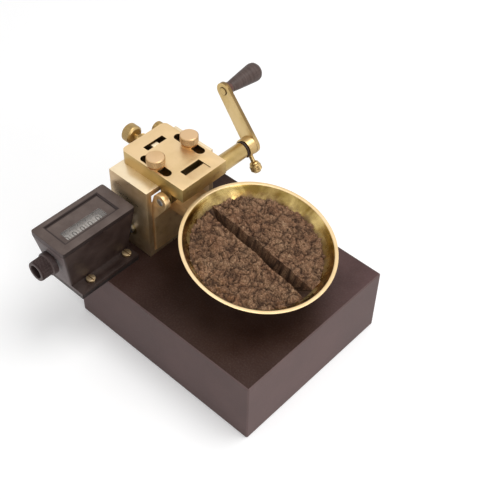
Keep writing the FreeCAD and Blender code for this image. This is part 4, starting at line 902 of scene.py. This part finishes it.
# Painted highlight on the tops of the knurl's diamonds.
ridge_highlight = ramp(tree, ridge, 0.1, 1.0, high=0.8)
tree.links.new(blended(tree, ridge_highlight, colour, (0.30, 0.24, 0.23)), shader.inputs["Base Color"])
knob_centre = (WHEEL_X * MM, 0, WHEEL_Z * MM)
barrel = knurl(KNOB_FACE - 10.8, KNOB_FACE - 3.9, 6.75, 0.45, 36, 6, knob_centre, (0, 1, 0))
bm = bmesh.new()
bm.verts.layers.float.new("ridge")
lathe(bm, [(KNOB_FACE, 0), (KNOB_FACE, 7.7), (KNOB_FACE - 3.4, 7.7), (KNOB_FACE - 3.9, 6.3), (KNOB_FACE - 10.8, 6.3),
           (KNOB_FACE - 11.2, 6.6), (KNOB_FACE - 11.8, 6.4), (KNOB_FACE - 11.8, 4.6), (KNOB_FACE - 11.2, 4.4),
           (KNOB_FACE - 4.8, 4.4), (KNOB_FACE - 4.8, 0)], knob_centre, (0, 1, 0), steps=72)
soften(bm, 0.25 * MM, 2)
bm.from_mesh(barrel)
bpy.data.meshes.remove(barrel)
finish_piece("reset_knob_dressed", bm, knob_black, "reset", ["reset_knob"], smooth_below=20.0)


# Studio. A pale floor under the block, a wide soft lamp above and a weaker one from the side; what
# the camera, the metal and the window see beyond the floor is white.

WHITE_SEEN, WORLD_LEVEL, FLOOR_LIFT, FLOOR_REACH = 1.0, 0.55, 0.22, 6.0

def seen_by(tree):
    """1 for what the camera sees, straight, in a polished face or through the window, and 0 for other light."""
    rays = add(tree, "ShaderNodeLightPath").outputs
    seen = worked(tree, "MAXIMUM", rays["Is Camera Ray"], rays["Is Glossy Ray"])
    return worked(tree, "MAXIMUM", seen, rays["Is Transmission Ray"])


floor_white, tree, shader = start_material("floor_white", Roughness=0.8, Specular_IOR_Level=0.1)
shader.inputs["Base Color"].default_value = (0.86, 0.86, 0.86, 1)
tree.links.new(worked(tree, "MULTIPLY", seen_by(tree), FLOOR_LIFT), shader.inputs["Emission Strength"])
shader.inputs["Emission Color"].default_value = (1, 1, 1, 1)
bm = bmesh.new()
bmesh.ops.create_grid(bm, x_segments=1, y_segments=1, size=FLOOR_REACH)
mesh = bpy.data.meshes.new("floor")
bm.to_mesh(mesh)
bm.free()
mesh.materials.append(floor_white)
floor = bpy.data.objects.new("floor", mesh)
bpy.context.scene.collection.objects.link(floor)

world = bpy.data.worlds.new("studio")
bpy.context.scene.world = world
world.use_nodes = True
tree = world.node_tree
background = tree.nodes["Background"]
background.inputs["Color"].default_value = (1, 1, 1, 1)
tree.links.new(scaled(tree, seen_by(tree), WORLD_LEVEL, WHITE_SEEN), background.inputs["Strength"])


def lamp(name, place_at, aim, size, power):
    """A round soft lamp that points at a place."""
    light = bpy.data.lights.new(name, "AREA")
    light.shape = "DISK"
    light.size = size
    light.energy = power
    holder = bpy.data.objects.new(name, light)
    direction = Vector(aim) - Vector(place_at)
    holder.matrix_world = Matrix.Translation(place_at) @ direction.to_track_quat("-Z", "Y").to_matrix().to_4x4()
    bpy.context.scene.collection.objects.link(holder)


lamp("key_lamp", (0.35, 0.25, 1.3), (0, 0, 0.05), 0.9, 9.0)
lamp("side_lamp", (1.3, -0.2, 0.6), (0, 0, 0.05), 0.8, 4.5)
bpy.context.scene.view_settings.view_transform = "Standard"
